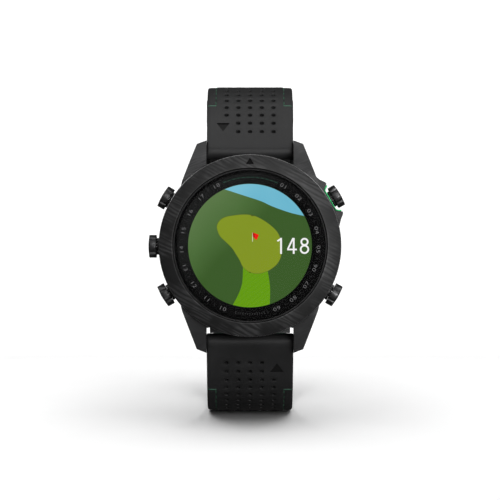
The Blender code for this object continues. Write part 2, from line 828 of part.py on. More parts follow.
def upper_strap(dial, path):
    """The 12 o'clock half: strap, lining, keepers and the folded end that holds the buckle pin."""
    side = 1
    rings = strap_sections(path, side, UPPER_LEN - BARE_END - 0.3)
    for s in stations(UPPER_LEN - BARE_END, UPPER_LEN, 1.8):
        rings.append(section(path, side, s, TAIL_W / 2 - CLEAR, 0.0, 2 * BUCKLE_END_R, 0.4))
    for angle in (30, 60):
        ahead = BUCKLE_END_R * math.sin(math.radians(angle))
        half = BUCKLE_END_R * math.cos(math.radians(angle))
        top, bottom = BUCKLE_END_R - half, BUCKLE_END_R + half
        rings.append(section(path, side, UPPER_LEN + ahead, TAIL_W / 2 - CLEAR, top, bottom, 0.3))
    outer = bmesh.new()
    lofted(outer, rings)
    strap = finish(outer, "upper_strap", "black_rubber", dial)
    hub = path.place(UPPER_LEN, side, BUCKLE_END_R)
    cut = bmesh.new()
    half = TONGUE_SLOT_W / 2
    prism(cut, [(-half, -3.2), (half, -3.2), (half, 4), (-half, 4)], -4, 4, hub)
    apply_boolean(strap, finish(cut, "tongue_slot", "steel", dial), "DIFFERENCE")
    across = hub @ Matrix.Rotation(math.radians(90), 4, "Y")
    bore = bmesh.new()
    prism(bore, circle(BUCKLE_PIN_R + CLEAR, 12), -15, 15, across)
    apply_boolean(strap, finish(bore, "buckle_bore", "steel", dial), "DIFFERENCE")
    cut_strap_end(dial, strap, path, side)
    lining_layer(dial, "upper_strap_lining", path, side, UPPER_LEN - BARE_END - 0.3)

    pin = bmesh.new()
    prism(pin, circle(BUCKLE_PIN_R, 12), -BUCKLE_OUT_W / 2 + 0.7, BUCKLE_OUT_W / 2 - 0.7, across)
    finish(pin, "buckle_pin", "steel", dial)
    keeper(dial, "fixed_keeper", path, side, FIXED_KEEPER_S)
    keeper(dial, "free_keeper", path, side, FREE_KEEPER_S)
    buckle(dial, hub)


def lining_layer(dial, name, path, side, end):
    """Soft layer under the strap's wrist side."""
    rings = []
    for s in bend_stations(path, end):
        bottom = strap_depth(s)
        rings.append(section(path, side, s, strap_width(s) / 2 - 0.45, bottom - LINING_T, bottom, 0.2))
    bm = bmesh.new()
    lofted(bm, rings)
    return finish(bm, name, "strap_lining", dial)


def cut_strap_end(dial, strap, path, side):
    """Room in the strap's lug end for the quick-release clip, its latch and the lug pin."""
    at_pin = path.place(0.0, side, END_R)
    sideways = Matrix(((0, 0, 1, 0), (1, 0, 0, 0), (0, 1, 0, 0), (0, 0, 0, 1)))
    room_r = HUB_R + CLEAR
    shape = [polar(room_r, 18.0 * i) for i in range(11)] + [(-room_r, -4.0), (room_r, -4.0)]
    room = bmesh.new()
    prism(room, shape, -CLIP_HALF - 0.1, CLIP_HALF + 0.1, at_pin @ sideways)
    apply_boolean(strap, finish(room, "clip_room", "steel", dial), "DIFFERENCE")
    half, near, far = PLATE_HALF + 0.1, 1.0, PLATE_END + 0.1
    room = bmesh.new()
    prism(room, [(-half, near), (half, near), (half, far), (-half, far)], -4, PLATE_TOP + CLEAR, at_pin)
    apply_boolean(strap, finish(room, "plate_room", "steel", dial), "DIFFERENCE")
    bore = bmesh.new()
    across = at_pin @ Matrix.Rotation(math.radians(90), 4, "Y")
    prism(bore, circle(PIN_R + CLEAR, 12), -15, 15, across)
    apply_boolean(strap, finish(bore, "pin_bore", "steel", dial), "DIFFERENCE")
    tidy(strap)


def quick_release(dial, prefix, path, side):
    """Clip whose hub opens toward the wrist to take the lug pin, and the latch that shuts it."""
    at_pin = path.place(0.0, side, END_R)
    sideways = Matrix(((0, 0, 1, 0), (1, 0, 0, 0), (0, 1, 0, 0), (0, 0, 0, 1)))
    shape = [polar(HUB_R, 22.0 + 248 * i / 12) for i in range(13)]
    shape += [(0.9, PLATE_LOW), (PLATE_END, PLATE_LOW), (PLATE_END, PLATE_TOP), (1.52, PLATE_TOP)]
    mesh = bmesh.new()
    prism(mesh, shape, -CLIP_HALF, CLIP_HALF, at_pin @ sideways)
    clip = finish(mesh, f"{prefix}_strap_clip", "black_metal", dial)

    def cut(outline, low, high, place):
        tool = bmesh.new()
        prism(tool, outline, low, high, place)
        apply_boolean(clip, finish(tool, "cutter", "steel", dial), "DIFFERENCE")

    for x in (-1, 1):
        low_x, high_x = sorted((x * PLATE_HALF, x * 12.0))
        cut([(low_x, 1.05), (high_x, 1.05), (high_x, 9), (low_x, 9)], -4, 4, at_pin)
    across = at_pin @ Matrix.Rotation(math.radians(90), 4, "Y")
    cut(circle(PIN_R + CLEAR, 12), -15, 15, across)
    wide = LATCH_HALF + 0.1
    cut([(-wide, -0.9), (wide, -0.9), (wide, 6.6), (-wide, 6.6)], -4, GROOVE, at_pin)
    cut([(-wide, -0.9), (wide, -0.9), (wide, 0.9), (-wide, 0.9)], GROOVE - 0.1, -0.2, at_pin)
    tidy(clip)

    half = LATCH_HALF
    top, low = GROOVE - CLEAR, PLATE_LOW + 0.05
    profile = [(-0.8, top), (-0.8, low), (LATCH_REACH - 1.1, low), (LATCH_REACH - 0.9, low - 0.4)]
    profile += [(LATCH_REACH, low - 0.4), (LATCH_REACH, top)]
    mesh = bmesh.new()
    prism(mesh, profile, -half, half, at_pin @ sideways)
    finish(mesh, f"{prefix}_release_latch", "black_metal", dial)


def keeper(dial, name, path, side, s):
    """Rubber loop round the strap with room for the tail outside it."""
    place = path.place(s, side)
    low = -STRAP_T - CLEAR
    high = low + KEEPER_ROOM
    half = TAIL_W / 2 + 0.45
    outer = rounded_rect_points(half + KEEPER_WALL, low - KEEPER_WALL, high + KEEPER_WALL, 1.3)
    inner = rounded_rect_points(half, low, high, 0.5)
    bm = bmesh.new()
    loops = []
    for y in (0.0, KEEPER_LEN):
        for points in (outer, inner):
            loops.append([bm.verts.new(place @ Vector((x, y, z))) for x, z in points])
    count = len(outer)
    for i in range(count):
        j = (i + 1) % count
        bm.faces.new((loops[0][i], loops[0][j], loops[2][j], loops[2][i]))
        bm.faces.new((loops[1][j], loops[1][i], loops[3][i], loops[3][j]))
        bm.faces.new((loops[0][j], loops[0][i], loops[1][i], loops[1][j]))
        bm.faces.new((loops[2][i], loops[2][j], loops[3][j], loops[3][i]))
    finish(bm, name, "black_rubber", dial)


def rounded_rect_points(half_w, low, high, corner):
    """Round-cornered rectangle as (x, z) points."""
    mid = (low + high) / 2
    return rounded_box(half_w, (high - low) / 2, corner, (0, mid), 3)


def buckle(dial, hub):
    """Buckle frame, a U round the strap's end with pin holes in its arms, and the tongue."""
    arm = (BUCKLE_OUT_W - BUCKLE_IN_W) / 2
    half_out, half_in = BUCKLE_OUT_W / 2, BUCKLE_IN_W / 2
    tip = BUCKLE_REACH
    outline = [
        (-half_out, -1.4),
        (-half_out + 0.5, -1.9),
        (-half_in, -1.9),
        (-half_in, tip - BAR_W - 0.8),
        (-half_in + 0.8, tip - BAR_W),
        (half_in - 0.8, tip - BAR_W),
        (half_in, tip - BAR_W - 0.8),
        (half_in, -1.9),
        (half_out - 0.5, -1.9),
        (half_out, -1.4),
        (half_out, tip - 2.2),
        (half_out - 0.7, tip - 0.7),
        (half_out - arm, tip),
        (-half_out + arm, tip),
        (-half_out + 0.7, tip - 0.7),
        (-half_out, tip - 2.2),
    ]
    bm = bmesh.new()
    prism(bm, outline, -FRAME_T / 2, FRAME_T / 2, hub)
    frame = finish(bm, "buckle_frame", "black_metal", dial)
    across = hub @ Matrix.Rotation(math.radians(90), 4, "Y")
    bore = bmesh.new()
    prism(bore, circle(BUCKLE_PIN_R + CLEAR, 12), -BUCKLE_OUT_W / 2 + 0.6, BUCKLE_OUT_W / 2 - 0.6, across)
    apply_boolean(frame, finish(bore, "frame_bore", "steel", dial), "DIFFERENCE")
    tidy(frame)

    sideways = Matrix(((0, 0, 1, 0), (1, 0, 0, 0), (0, 1, 0, 0), (0, 0, 0, 1)))
    rest = FRAME_T / 2 + 0.05
    knuckle = 1.35
    profile = [polar(knuckle, 100 + 21 * i) for i in range(11)]
    profile += [(2.6, -0.35), (7.6, rest), (tip - 0.6, rest), (tip + 0.15, rest + 0.35)]
    profile += [(tip - 0.3, rest + 1.05), (7.4, rest + 1.15), (2.4, 1.15)]
    tongue_mesh = bmesh.new()
    prism(tongue_mesh, profile, -TONGUE_W / 2, TONGUE_W / 2, hub @ sideways)
    tongue = finish(tongue_mesh, "buckle_tongue", "black_metal", dial)
    eye = bmesh.new()
    prism(eye, circle(BUCKLE_PIN_R + CLEAR, 12), -5, 5, across)
    apply_boolean(tongue, finish(eye, "tongue_eye", "steel", dial), "DIFFERENCE")
    tidy(tongue)


def lower_strap(dial, path):
    """The 6 o'clock half: strap and lining with adjusting holes through both, and a rounded tail."""
    side = -1
    tail_from = LOWER_LEN - 8.0
    rings = strap_sections(path, side, tail_from)
    layer = STRAP_T - LINING_T - CLEAR
    tail_half = TAIL_W / 2 - CLEAR
    for i in range(1, 6):
        reach = 8.0 * math.sin(math.radians(18 * i))
        narrow = math.cos(math.radians(15.6 * i))
        rings.append(section(path, side, tail_from + reach, tail_half * narrow, 0.0, layer, 0.4))
    outer = bmesh.new()
    lofted(outer, rings)
    strap = finish(outer, "lower_strap", "black_rubber", dial)
    cut_strap_end(dial, strap, path, side)
    lining = lining_layer(dial, "lower_strap_lining", path, side, LOWER_LEN - 9.5)
    for layer_object in (strap, lining):
        for i in range(ADJUSTING_HOLES):
            hole = bmesh.new()
            place = path.place(LOWER_LEN - 18.0 - ADJUSTING_PITCH * i, side)
            prism(hole, rounded_box(1.35, 1.1, 0.7, steps=1), -5.0, 2.0, place)
            apply_boolean(layer_object, finish(hole, "adjusting", "steel", dial), "DIFFERENCE")
        tidy(layer_object)


def lug_pins(dial):
    """Pins across each pair of lugs, which carry the strap halves."""
    for side, name in ((1, "upper_lug_pin"), (-1, "lower_lug_pin")):
        across = Matrix.Translation((0, side * PIN_Y, PIN_H)) @ Matrix.Rotation(math.radians(90), 4, "Y")
        pin = bmesh.new()
        prism(pin, circle(PIN_R, 12), -13.4, 13.4, across)
        finish(pin, name, "steel", dial)


def main():
    clear_scene()
    dial = bpy.data.objects.new("dial_frame", None)
    dial.rotation_euler = (math.radians(90), 0, 0)
    bpy.context.scene.collection.objects.link(dial)

    case_body(dial)
    guard_inlay(dial)
    bezel(dial)
    head_rings(dial)
    electronics(dial)
    back_side(dial)
    buttons(dial)
    lug_pins(dial)
    upper_path = Path(UPPER_CURVE, UPPER_LEN)
    lower_path = Path(LOWER_CURVE, LOWER_LEN)
    upper_strap(dial, upper_path)
    lower_strap(dial, lower_path)
    quick_release(dial, "upper", upper_path, 1)
    quick_release(dial, "lower", lower_path, -1)


main()
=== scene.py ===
import math

import bmesh
import bpy
from mathutils import Matrix, Vector
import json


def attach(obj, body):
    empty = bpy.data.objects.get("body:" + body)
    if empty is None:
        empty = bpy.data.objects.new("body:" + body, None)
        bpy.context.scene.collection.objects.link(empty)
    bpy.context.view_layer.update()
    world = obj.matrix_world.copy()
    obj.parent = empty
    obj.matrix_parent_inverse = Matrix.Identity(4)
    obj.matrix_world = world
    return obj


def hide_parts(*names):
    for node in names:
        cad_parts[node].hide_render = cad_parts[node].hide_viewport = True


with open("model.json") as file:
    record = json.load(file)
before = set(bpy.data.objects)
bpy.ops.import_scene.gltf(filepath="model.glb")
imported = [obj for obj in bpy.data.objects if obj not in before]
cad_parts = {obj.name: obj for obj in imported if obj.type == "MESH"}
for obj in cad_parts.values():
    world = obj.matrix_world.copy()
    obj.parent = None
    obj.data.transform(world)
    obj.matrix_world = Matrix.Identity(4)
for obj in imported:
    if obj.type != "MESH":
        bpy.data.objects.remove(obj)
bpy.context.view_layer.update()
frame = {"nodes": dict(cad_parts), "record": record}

# The dial frame is in millimetres: X to 3 o'clock, Y to 12 o'clock, Z the height above the wrist.
MM = 0.001
DIAL = Matrix.Rotation(math.radians(90), 4, "X") @ Matrix.Scale(MM, 4)
IDENTITY = Matrix.Identity(4)
ACROSS = Matrix.Rotation(math.radians(90), 4, "Y")
HEAD = "watch_head"

# ------------------------------------------------------------------ sizes, as in the CAD

CASE_R, CAVITY_R = 22.9, 19.4
CASE_BASE, CASE_TOP = 2.7, 12.6
SCREEN_R = 15.46
BEZEL_IN_R, CRYSTAL_R = 19.25, 19.0
STRAP_W, PIN_Y, PIN_H, PIN_R = 22.0, 24.0, 3.2, 0.9
BUTTON_H = 7.6
BUTTONS = {"light": (150, 0.0), "up": (180, 0.0), "down": (210, 0.0), "start": (30, 0.7), "back": (-30, 0.0)}
END_R = 2.1  # half the thickness of a strap half at its lug pin
STRAP_T, LINING_T = 3.1, 0.7
UPPER_LEN, LOWER_LEN = 71.0, 108.0
# How each strap half bends: tightening rate, even bend, path length of the widest part, arcs after it
UPPER_CURVE = (0.052, 2.6, 31.5, ((17.5, 40.0),))
LOWER_CURVE = (0.0775, 2.1, 32.85, ((35.0, 45.0), (60.0, 90.0)))
BUCKLE_END_R, BUCKLE_PIN_R = 1.5, 0.75
POCKET_Y, BRIDGE_X, BRIDGE_Y = 20.3, 10.1, 21.85

# ------------------------------------------------------------------ node materials


class Nodes:
    """A material's node tree, with short ways to add what these materials need."""

    def __init__(self, name, roughness=0.5, metallic=0.0, **fixed):
        self.material = bpy.data.materials.new(name)
        self.material.use_nodes = True
        self.tree = self.material.node_tree
        self.shader = self.tree.nodes["Principled BSDF"]
        for key, value in {"Roughness": roughness, "Metallic": metallic, **fixed}.items():
            self.plug(value, self.shader.inputs[key.replace("_", " ")])
        self.position = self.tree.nodes.new("ShaderNodeTexCoord").outputs["Object"]

    def plug(self, value, socket):
        """Sets a socket, or links it when the value is another node's output."""
        if hasattr(value, "is_output"):
            self.tree.links.new(value, socket)
        elif isinstance(value, tuple) and len(value) == 3 and socket.type == "RGBA":
            socket.default_value = (*value, 1.0)
        else:
            socket.default_value = value

    def link(self, output, socket):
        self.plug(output, self.shader.inputs[socket])

    def add(self, kind, **inputs):
        node = self.tree.nodes.new(kind)
        for key, value in inputs.items():
            self.plug(value, node.inputs[key.replace("_", " ")])
        return node

    def mapped(self, rotation=(0, 0, 0), scale=(1, 1, 1), source=None):
        turned = tuple(math.radians(a) for a in rotation)
        node = self.add("ShaderNodeMapping", Vector=source or self.position, Rotation=turned, Scale=scale)
        return node.outputs["Vector"]

    def noise(self, scale, detail=3.0, rough=0.5, source=None):
        place = source or self.position
        node = self.add("ShaderNodeTexNoise", Vector=place, Scale=scale, Detail=detail, Roughness=rough)
        return node.outputs["Fac"]

    def ramp(self, value, *stops, ease="LINEAR"):
        node = self.add("ShaderNodeValToRGB", Fac=value)
        node.color_ramp.interpolation = ease
        elements = node.color_ramp.elements
        while len(elements) < len(stops):
            elements.new(0.5)
        for element, (place, colour) in zip(elements, stops):
            element.position = place
            element.color = (*(colour if isinstance(colour, tuple) else (colour,) * 3), 1.0)
        return node.outputs["Color"]

    def math(self, operation, a, b, clamp=False):
        node = self.tree.nodes.new("ShaderNodeMath")
        node.operation, node.use_clamp = operation, clamp
        self.plug(a, node.inputs[0])
        self.plug(b, node.inputs[1])
        return node.outputs[0]

    def sum(self, *terms, clamp=False):
        """Adds up (value, factor) pairs."""
        total, *others = [self.math("MULTIPLY", value, factor) for value, factor in terms]
        for part in others:
            total = self.math("ADD", total, part, clamp)
        return total

    def mix(self, factor, a, b):
        node = self.tree.nodes.new("ShaderNodeMix")
        node.data_type = "RGBA"
        for value, index in ((factor, 0), (a, 6), (b, 7)):
            self.plug(value, node.inputs[index])
        return node.outputs[2]

    def vary(self, value, colour, spread, rough, span=(0.3, 0.7), rough_by=None):
        """Colour and roughness that drift with a value, the colour by a share of itself."""
        tones = [tuple(min(1.0, c * (1 + k * spread)) for c in colour) for k in (-1, 1)]
        self.link(self.ramp(rough_by or value, (span[0], rough[0]), (span[1], rough[1])), "Roughness")
        return self.ramp(value, (0.3, tones[0]), (0.7, tones[1]))

    def bump(self, height, strength, distance_mm):
        node = self.add("ShaderNodeBump", Height=height, Strength=strength, Distance=distance_mm * MM)
        self.link(node.outputs["Normal"], "Normal")


def carbon(name, low, high, angle, bands, specular):
    """Pressed carbon sheet: wavy layered streaks that come and go, under a satin resin."""
    m = Nodes(name, Specular_IOR_Level=specular, Coat_Weight=0.06, Coat_Roughness=0.25)
    turned = m.mapped(rotation=(0, angle, 0))
    place = m.mapped(scale=(0.16, 0.16, 1.0), source=turned)
    wave = m.add(
        "ShaderNodeTexWave", Vector=place, Scale=bands, Distortion=11.0, Detail=3.0, Detail_Scale=1.3,
        Detail_Roughness=0.55,
    )
    wave.bands_direction = "Z"
    patches = m.ramp(m.noise(170.0, 2.0, 0.5), (0.36, 0.0), (0.68, 1.0), ease="EASE")
    fibres = m.noise(5200.0, 3.0, 0.6, source=m.mapped(scale=(0.05, 0.3, 1.0), source=turned))
    streak = m.math("MULTIPLY", wave.outputs["Fac"], patches)
    blend = m.sum((streak, 0.75), (fibres, 0.3), clamp=True)
    m.link(m.ramp(blend, (0.08, low), (0.85, high)), "Base Color")
    m.link(m.ramp(blend, (0.0, 0.55), (1.0, 0.36)), "Roughness")
    m.bump(m.sum((streak, 0.6), (fibres, 0.5)), 0.22, 0.06)
    return m.material


def rubber(name, colour, rough=(0.50, 0.64)):
    """Smooth moulded rubber with a faint cloudy tone and a fine matt skin."""
    m = Nodes(name, Specular_IOR_Level=0.24)
    skin = m.noise(7000.0, 2.0, 0.6)
    m.link(m.vary(m.noise(140.0, 4.0, 0.55), colour, 0.14, rough, rough_by=skin), "Base Color")
    m.bump(skin, 0.14, 0.02)
    return m.material


def coated_metal(name, colour, rough=(0.26, 0.40), metallic=1.0, grain=0.16):
    """Metal with a fine grain, and edges that wear a little brighter."""
    m = Nodes(name, metallic=metallic)
    lines = m.noise(6000.0, 3.0, 0.6)
    tone = m.sum((lines, 0.5), (m.noise(260.0, 3.0, 0.5), 0.5))
    body = m.vary(tone, colour, 0.2, rough, span=(0.25, 0.75), rough_by=lines)
    edge = m.add("ShaderNodeNewGeometry").outputs["Pointiness"]
    worn = m.ramp(edge, (0.53, 0.0), (0.60, 1.0))
    m.link(m.mix(worn, body, tuple(min(1.0, c * 2.4 + 0.02) for c in colour)), "Base Color")
    m.bump(lines, grain, 0.012)
    return m.material


def plastic(name, colour, rough=(0.45, 0.6), spot=0.12, specular=0.5):
    m = Nodes(name, Specular_IOR_Level=specular)
    speckle = m.noise(2600.0, 4.0, 0.6)
    m.link(m.vary(speckle, colour, spot, rough), "Base Color")
    m.bump(speckle, 0.1, 0.015)
    return m.material


def glowing(name, base=(0.0, 0.0, 0.0)):
    return Nodes(name, Specular_IOR_Level=0.04, Base_Color=base, Emission_Strength=1.0)


def lit(name, colours, scale=45.0, base=(0.0, 0.0, 0.0), stops=(0.35, 0.65)):
    """A glowing area: the display's own light, or painted light where it is print on the number ring. Its colour
    drifts gently between two tones.
    """
    m = glowing(name, base)
    m.link(m.ramp(m.noise(scale, 2.0, 0.4), *zip(stops, colours), ease="EASE"), "Emission Color")
    return m.material


def rough_grass():
    """The course's rough, softly mottled: the screen's greens, with a painted reflection making them lighter and
    greyer at the upper left and deeper toward the lower right.
    """
    m = glowing("course_rough")
    split = m.add("ShaderNodeSeparateXYZ", Vector=m.position)
    # Painted reflection: by position, the glow runs from light at the upper left to deep at the lower right.
    painted_glare_fall = m.math("ADD", m.sum((split.outputs["X"], 62.5), (split.outputs["Z"], -62.5)), 1.25)
    mottle = m.math("MULTIPLY", m.math("SUBTRACT", m.noise(120.0, 2.0, 0.5), 0.5), 0.25)
    tones = ((0.112, 0.206, 0.068), (0.078, 0.168, 0.043), (0.045, 0.112, 0.021))
    m.link(m.ramp(m.math("ADD", painted_glare_fall, mottle, clamp=True), *zip((0.0, 0.5, 1.0), tones)), "Emission Color")
    return m.material


def mown_fairway():
    """Bright fairway with faint diagonal mowing stripes."""
    m = glowing("course_fairway")
    wave = m.add("ShaderNodeTexWave", Vector=m.mapped(rotation=(0, 38, 0)), Scale=300.0, Distortion=0.5)
    wave.bands_direction = "Z"
    tones = ((0.130, 0.345, 0.003), (0.152, 0.385, 0.004), (0.142, 0.362, 0.003))
    m.link(m.ramp(wave.outputs["Fac"], *zip((0.15, 0.5, 0.9), tones)), "Emission Color")
    return m.material


def ring_black_with_painted_reflection():
    """Near-black print under the crystal, made a touch paler toward the upper left by a painted reflection."""
    m = Nodes("ring_black_with_painted_reflection", Specular_IOR_Level=0.02)
    split = m.add("ShaderNodeSeparateXYZ", Vector=m.position)
    # Painted reflection: by position, the colour grows paler toward the upper left, standing in for the glossy
    # ring's reflection.
    painted_reflection_drift = m.sum((split.outputs["X"], -22.0), (split.outputs["Z"], 22.0), (m.noise(300.0, 2.0, 0.5), 0.2))
    tone = m.ramp(painted_reflection_drift, (0.0, (0.0008, 0.0008, 0.0009)), (0.62, (0.010, 0.0105, 0.0105)), ease="EASE")
    radius = m.tree.nodes.new("ShaderNodeVectorMath")
    radius.operation = "LENGTH"
    m.plug(m.mapped(scale=(1, 0, 1)), radius.inputs[0])
    border = m.ramp(m.math("MULTIPLY", radius.outputs["Value"], 50.0), (0.905, 0.0), (0.915, 1.0))
    m.link(m.mix(border, tone, (0.0008, 0.0008, 0.0009)), "Base Color")
    m.link(m.ramp(m.noise(2600.0, 3.0, 0.6), (0.3, 0.42), (0.7, 0.50)), "Roughness")
    return m.material


def crystal_glass():
    """Clear crystal: almost invisible face on, with the reflections of glass toward the edge."""
    m = Nodes("crystal_glass", IOR=1.6, Base_Color=(0.0, 0.0, 0.0))
    facing = m.add("ShaderNodeLayerWeight", Blend=0.35).outputs["Fresnel"]
    m.link(m.ramp(m.noise(60.0, 2.0, 0.5), (0.3, 0.02), (0.7, 0.06)), "Roughness")
    m.link(m.ramp(facing, (0.0, 0.03), (1.0, 0.85)), "Alpha")
    m.material.surface_render_method = "BLENDED"
    return m.material


def dark_glass():
    m = Nodes("sensor_window_glass", IOR=1.5)
    smear = m.noise(90.0, 3.0, 0.5)
    m.link(m.ramp(smear, (0.3, (0.004, 0.004, 0.005)), (0.7, (0.012, 0.010, 0.014))), "Base Color")
    m.link(m.ramp(smear, (0.3, 0.03), (0.7, 0.08)), "Roughness")
    return m.material


def floor_paper():
    m = Nodes("pale_floor", roughness=0.8)
    m.link(m.ramp(m.noise(30.0, 3.0, 0.5), (0.3, 0.84), (0.7, 0.86)), "Base Color")
    return m.material


CARBON_BEZEL = carbon("carbon_bezel", (0.0020, 0.0020, 0.0021), (0.024, 0.024, 0.0245), -28.0, 330.0, 0.24)
CARBON_CASE = carbon("carbon_case", (0.015, 0.015, 0.0155), (0.036, 0.036, 0.037), 24.0, 620.0, 0.22)
EDGE_METAL = coated_metal("bezel_edge", (0.30, 0.30, 0.30), rough=(0.22, 0.34))
RUBBER = rubber("strap_rubber", (0.012, 0.012, 0.0123), rough=(0.46, 0.58))
LINING = rubber("strap_lining_rubber", (0.014, 0.040, 0.027), rough=(0.62, 0.78))
BLACK_METAL = coated_metal("black_coated_metal", (0.045, 0.045, 0.047), rough=(0.24, 0.36))
BUTTON_METAL = coated_metal("button_metal", (0.022, 0.022, 0.0225), rough=(0.30, 0.42), metallic=0.7)
STEEL = coated_metal("plain_steel", (0.55, 0.55, 0.56), rough=(0.2, 0.34))
TITANIUM = coated_metal("grey_blasted_metal", (0.20, 0.20, 0.205), rough=(0.36, 0.5), grain=0.3)
GREEN_METAL = coated_metal("green_anodised_metal", (0.020, 0.150, 0.055), rough=(0.30, 0.42))
RING_BLACK = ring_black_with_painted_reflection()
# Rubber darker than the strap's, for the sunk triangle: painted shade of the recess.
SUNK_RUBBER_PAINTED_SHADE = plastic("sunk_rubber_painted_shade", (0.006, 0.006, 0.006), rough=(0.50, 0.64), specular=0.10)
# Black for sunk marks, also laid as painted shade on the bezel's inner wall and on the case's bridges.
MARK_AND_SHADE_BLACK = plastic("sunk_black_mark_and_painted_shade", (0.003, 0.003, 0.003), rough=(0.45, 0.60), specular=0.04)
BLACK_PLASTIC = plastic("moulded_black", (0.016, 0.016, 0.017))
STITCH = plastic("green_thread", (0.022, 0.090, 0.050), rough=(0.6, 0.8), spot=0.35)
ACCENT = plastic("green_accent", (0.022, 0.090, 0.052), rough=(0.4, 0.55))
GOLD = coated_metal("gold_contacts", (0.80, 0.56, 0.22), rough=(0.18, 0.3))
BOARD = plastic("circuit_board_green", (0.010, 0.110, 0.045), rough=(0.35, 0.5), spot=0.3)
FOIL = coated_metal("battery_foil", (0.42, 0.43, 0.45), rough=(0.3, 0.45))
FLEX = plastic("amber_film", (0.36, 0.16, 0.02), rough=(0.3, 0.45))

SLOT_MATERIALS = {
    "carbon": CARBON_CASE,
    "black_metal": BLACK_METAL,
    "black_rubber": RUBBER,
    "strap_lining": LINING,
    "sapphire": None,
    "dial_black": RING_BLACK,
    "screen": None,
    "green_anodised": GREEN_METAL,
    "titanium": TITANIUM,
    "steel": STEEL,
    "gold_contact": GOLD,
    "circuit_board": BOARD,
    "battery_foil": FOIL,
    "flex_film": FLEX,
    "black_plastic": BLACK_PLASTIC,
    "window_glass": None,
}

# ------------------------------------------------------------------ mesh helpers


def skinned(bm, loops, around=True, closed=False, caps=True, skip=()):
    """Adds the faces between neighbouring loops of vertices, then over the first and last."""
    for row, (a, b) in enumerate(zip(loops, loops[1:] + (loops[:1] if closed else []))):
        for i in range(len(a) if around else len(a) - 1):
            if (row, i) not in skip:
                j = (i + 1) % len(a)
                bm.faces.new((a[i], a[j], b[j], b[i]))
    if caps:
        bm.faces.new(loops[0][::-1])
        bm.faces.new(loops[-1])
    return bm


def outline_of(points, low, high, place=IDENTITY, bm=None):
    """The solid between two heights over a flat outline."""
    bm = bm or bmesh.new()
    bottom, top = [[bm.verts.new(place @ Vector((x, y, h))) for x, y in points] for h in (low, high)]
    bm.faces.new(bottom[::-1])
    bm.faces.new(top)
    return skinned(bm, [bottom, top], caps=False)


def filleted(profile, radius, steps=4):
    """Closed profile with its corners rounded, apart from those on the axis."""
    rounded = []
    for i, point in enumerate(profile):
        corner = Vector(point)
        before = Vector(profile[i - 1]) - corner
        after = Vector(profile[(i + 1) % len(profile)]) - corner
        reach = min(radius, before.length * 0.45, after.length * 0.45)
        straight = before.length < 1e-6 or after.length < 1e-6 or before.angle(after) > math.radians(172)
        if abs(corner.x) < 1e-6 or straight:
            rounded.append(tuple(corner))
            continue
        start = corner + before.normalized() * reach
        end = corner + after.normalized() * reach
        for k in range(steps + 1):
            t = k / steps
            rounded.append(tuple(start * (1 - t) ** 2 + corner * 2 * t * (1 - t) + end * t * t))
    return rounded


def lathe(profile, segments, place=IDENTITY, radius_of=None, bm=None):
    """Sweeps a (radius, height) profile round Z. radius_of(angle, index, radius) can shape each ring."""
    bm = bm or bmesh.new()
    rings = []
    for index, (r, h) in enumerate(profile):
        ring = []
        for i in range(segments if r > 1e-6 else 1):
            angle = 2 * math.pi * i / segments
            real = radius_of(angle, index, r) if radius_of and r > 1e-6 else r
            ring.append(bm.verts.new(place @ Vector((real * math.cos(angle), real * math.sin(angle), h))))
        rings.append(ring)
    for a, b in zip(rings, rings[1:] + rings[:1]):
        if len(a) > 1 or len(b) > 1:
            for i in range(segments):
                j = (i + 1) % segments
                corners = a[i % len(a)], a[j % len(a)], b[j % len(b)], b[i % len(b)]
                bm.faces.new(tuple(dict.fromkeys(corners)))
    return bm


def linked(name, data):
    thing = bpy.data.objects.new(name, data)
    bpy.context.scene.collection.objects.link(thing)
    return thing


def finished(bm, name, materials, body, replaced=(), angle=32, place=DIAL):
    """Makes a piece from a bmesh: outward normals, smooth shading, a body to ride on, a slot."""
    bmesh.ops.remove_doubles(bm, verts=bm.verts, dist=1e-5)
    bmesh.ops.recalc_face_normals(bm, faces=bm.faces)
    bmesh.ops.transform(bm, matrix=place, verts=bm.verts)
    if bm.calc_volume(signed=True) < 0:
        bmesh.ops.reverse_faces(bm, faces=bm.faces)
    mesh = bpy.data.meshes.new(name)
    bm.to_mesh(mesh)
    bm.free()
    thing = linked(name, mesh)
    for entry in materials if isinstance(materials, list) else [materials]:
        mesh.materials.append(entry)
    mesh.shade_smooth()
    mesh.set_sharp_from_angle(angle=math.radians(angle))
    if body:
        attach(thing, body)
    if replaced:
        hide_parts(*replaced)
    return thing


def blank(bm, materials=None, scale=IDENTITY):
    """A passing object, which only serves to shape others or is shaped further."""
    return finished(bm, "blank", materials or BLACK_PLASTIC, None, place=scale)


def reopened(thing):
    """The mesh of a passing object, which is then removed."""
    bm = bmesh.new()
    bm.from_mesh(thing.data)
    bpy.data.objects.remove(thing, do_unlink=True)
    return bm


def boolean(target, tool, operation="DIFFERENCE"):
    """Joins or cuts a mesh object by another, which is then removed."""
    modifier = target.modifiers.new("cut", "BOOLEAN")
    modifier.operation = operation
    modifier.solver = "EXACT"
    modifier.object = tool
    bpy.context.view_layer.update()
    shaped = bpy.data.meshes.new_from_object(target.evaluated_get(bpy.context.evaluated_depsgraph_get()))
    target.modifiers.remove(modifier)
    target.data = shaped
    bpy.data.objects.remove(tool, do_unlink=True)


def cut(target, points, low, high, place=IDENTITY, scale=IDENTITY):
    """Cuts the solid over an outline from an object, which is in millimetres unless its scale is DIAL."""
    boolean(target, blank(outline_of(points, low, high, place), scale=scale))


def box(left, right, low, high):
    return [(left, low), (right, low), (right, high), (left, high)]


def bevelled(bm, width, segments=3, least=30.0):
    """Rounds every edge sharper than an angle."""
    sharp = [e for e in bm.edges if len(e.link_faces) == 2 and e.calc_face_angle(0.0) > math.radians(least)]
    bmesh.ops.bevel(
        bm, geom=sharp, offset=width, offset_type="OFFSET", segments=segments, profile=0.5,
        affect="EDGES", clamp_overlap=True,
    )
    return bm


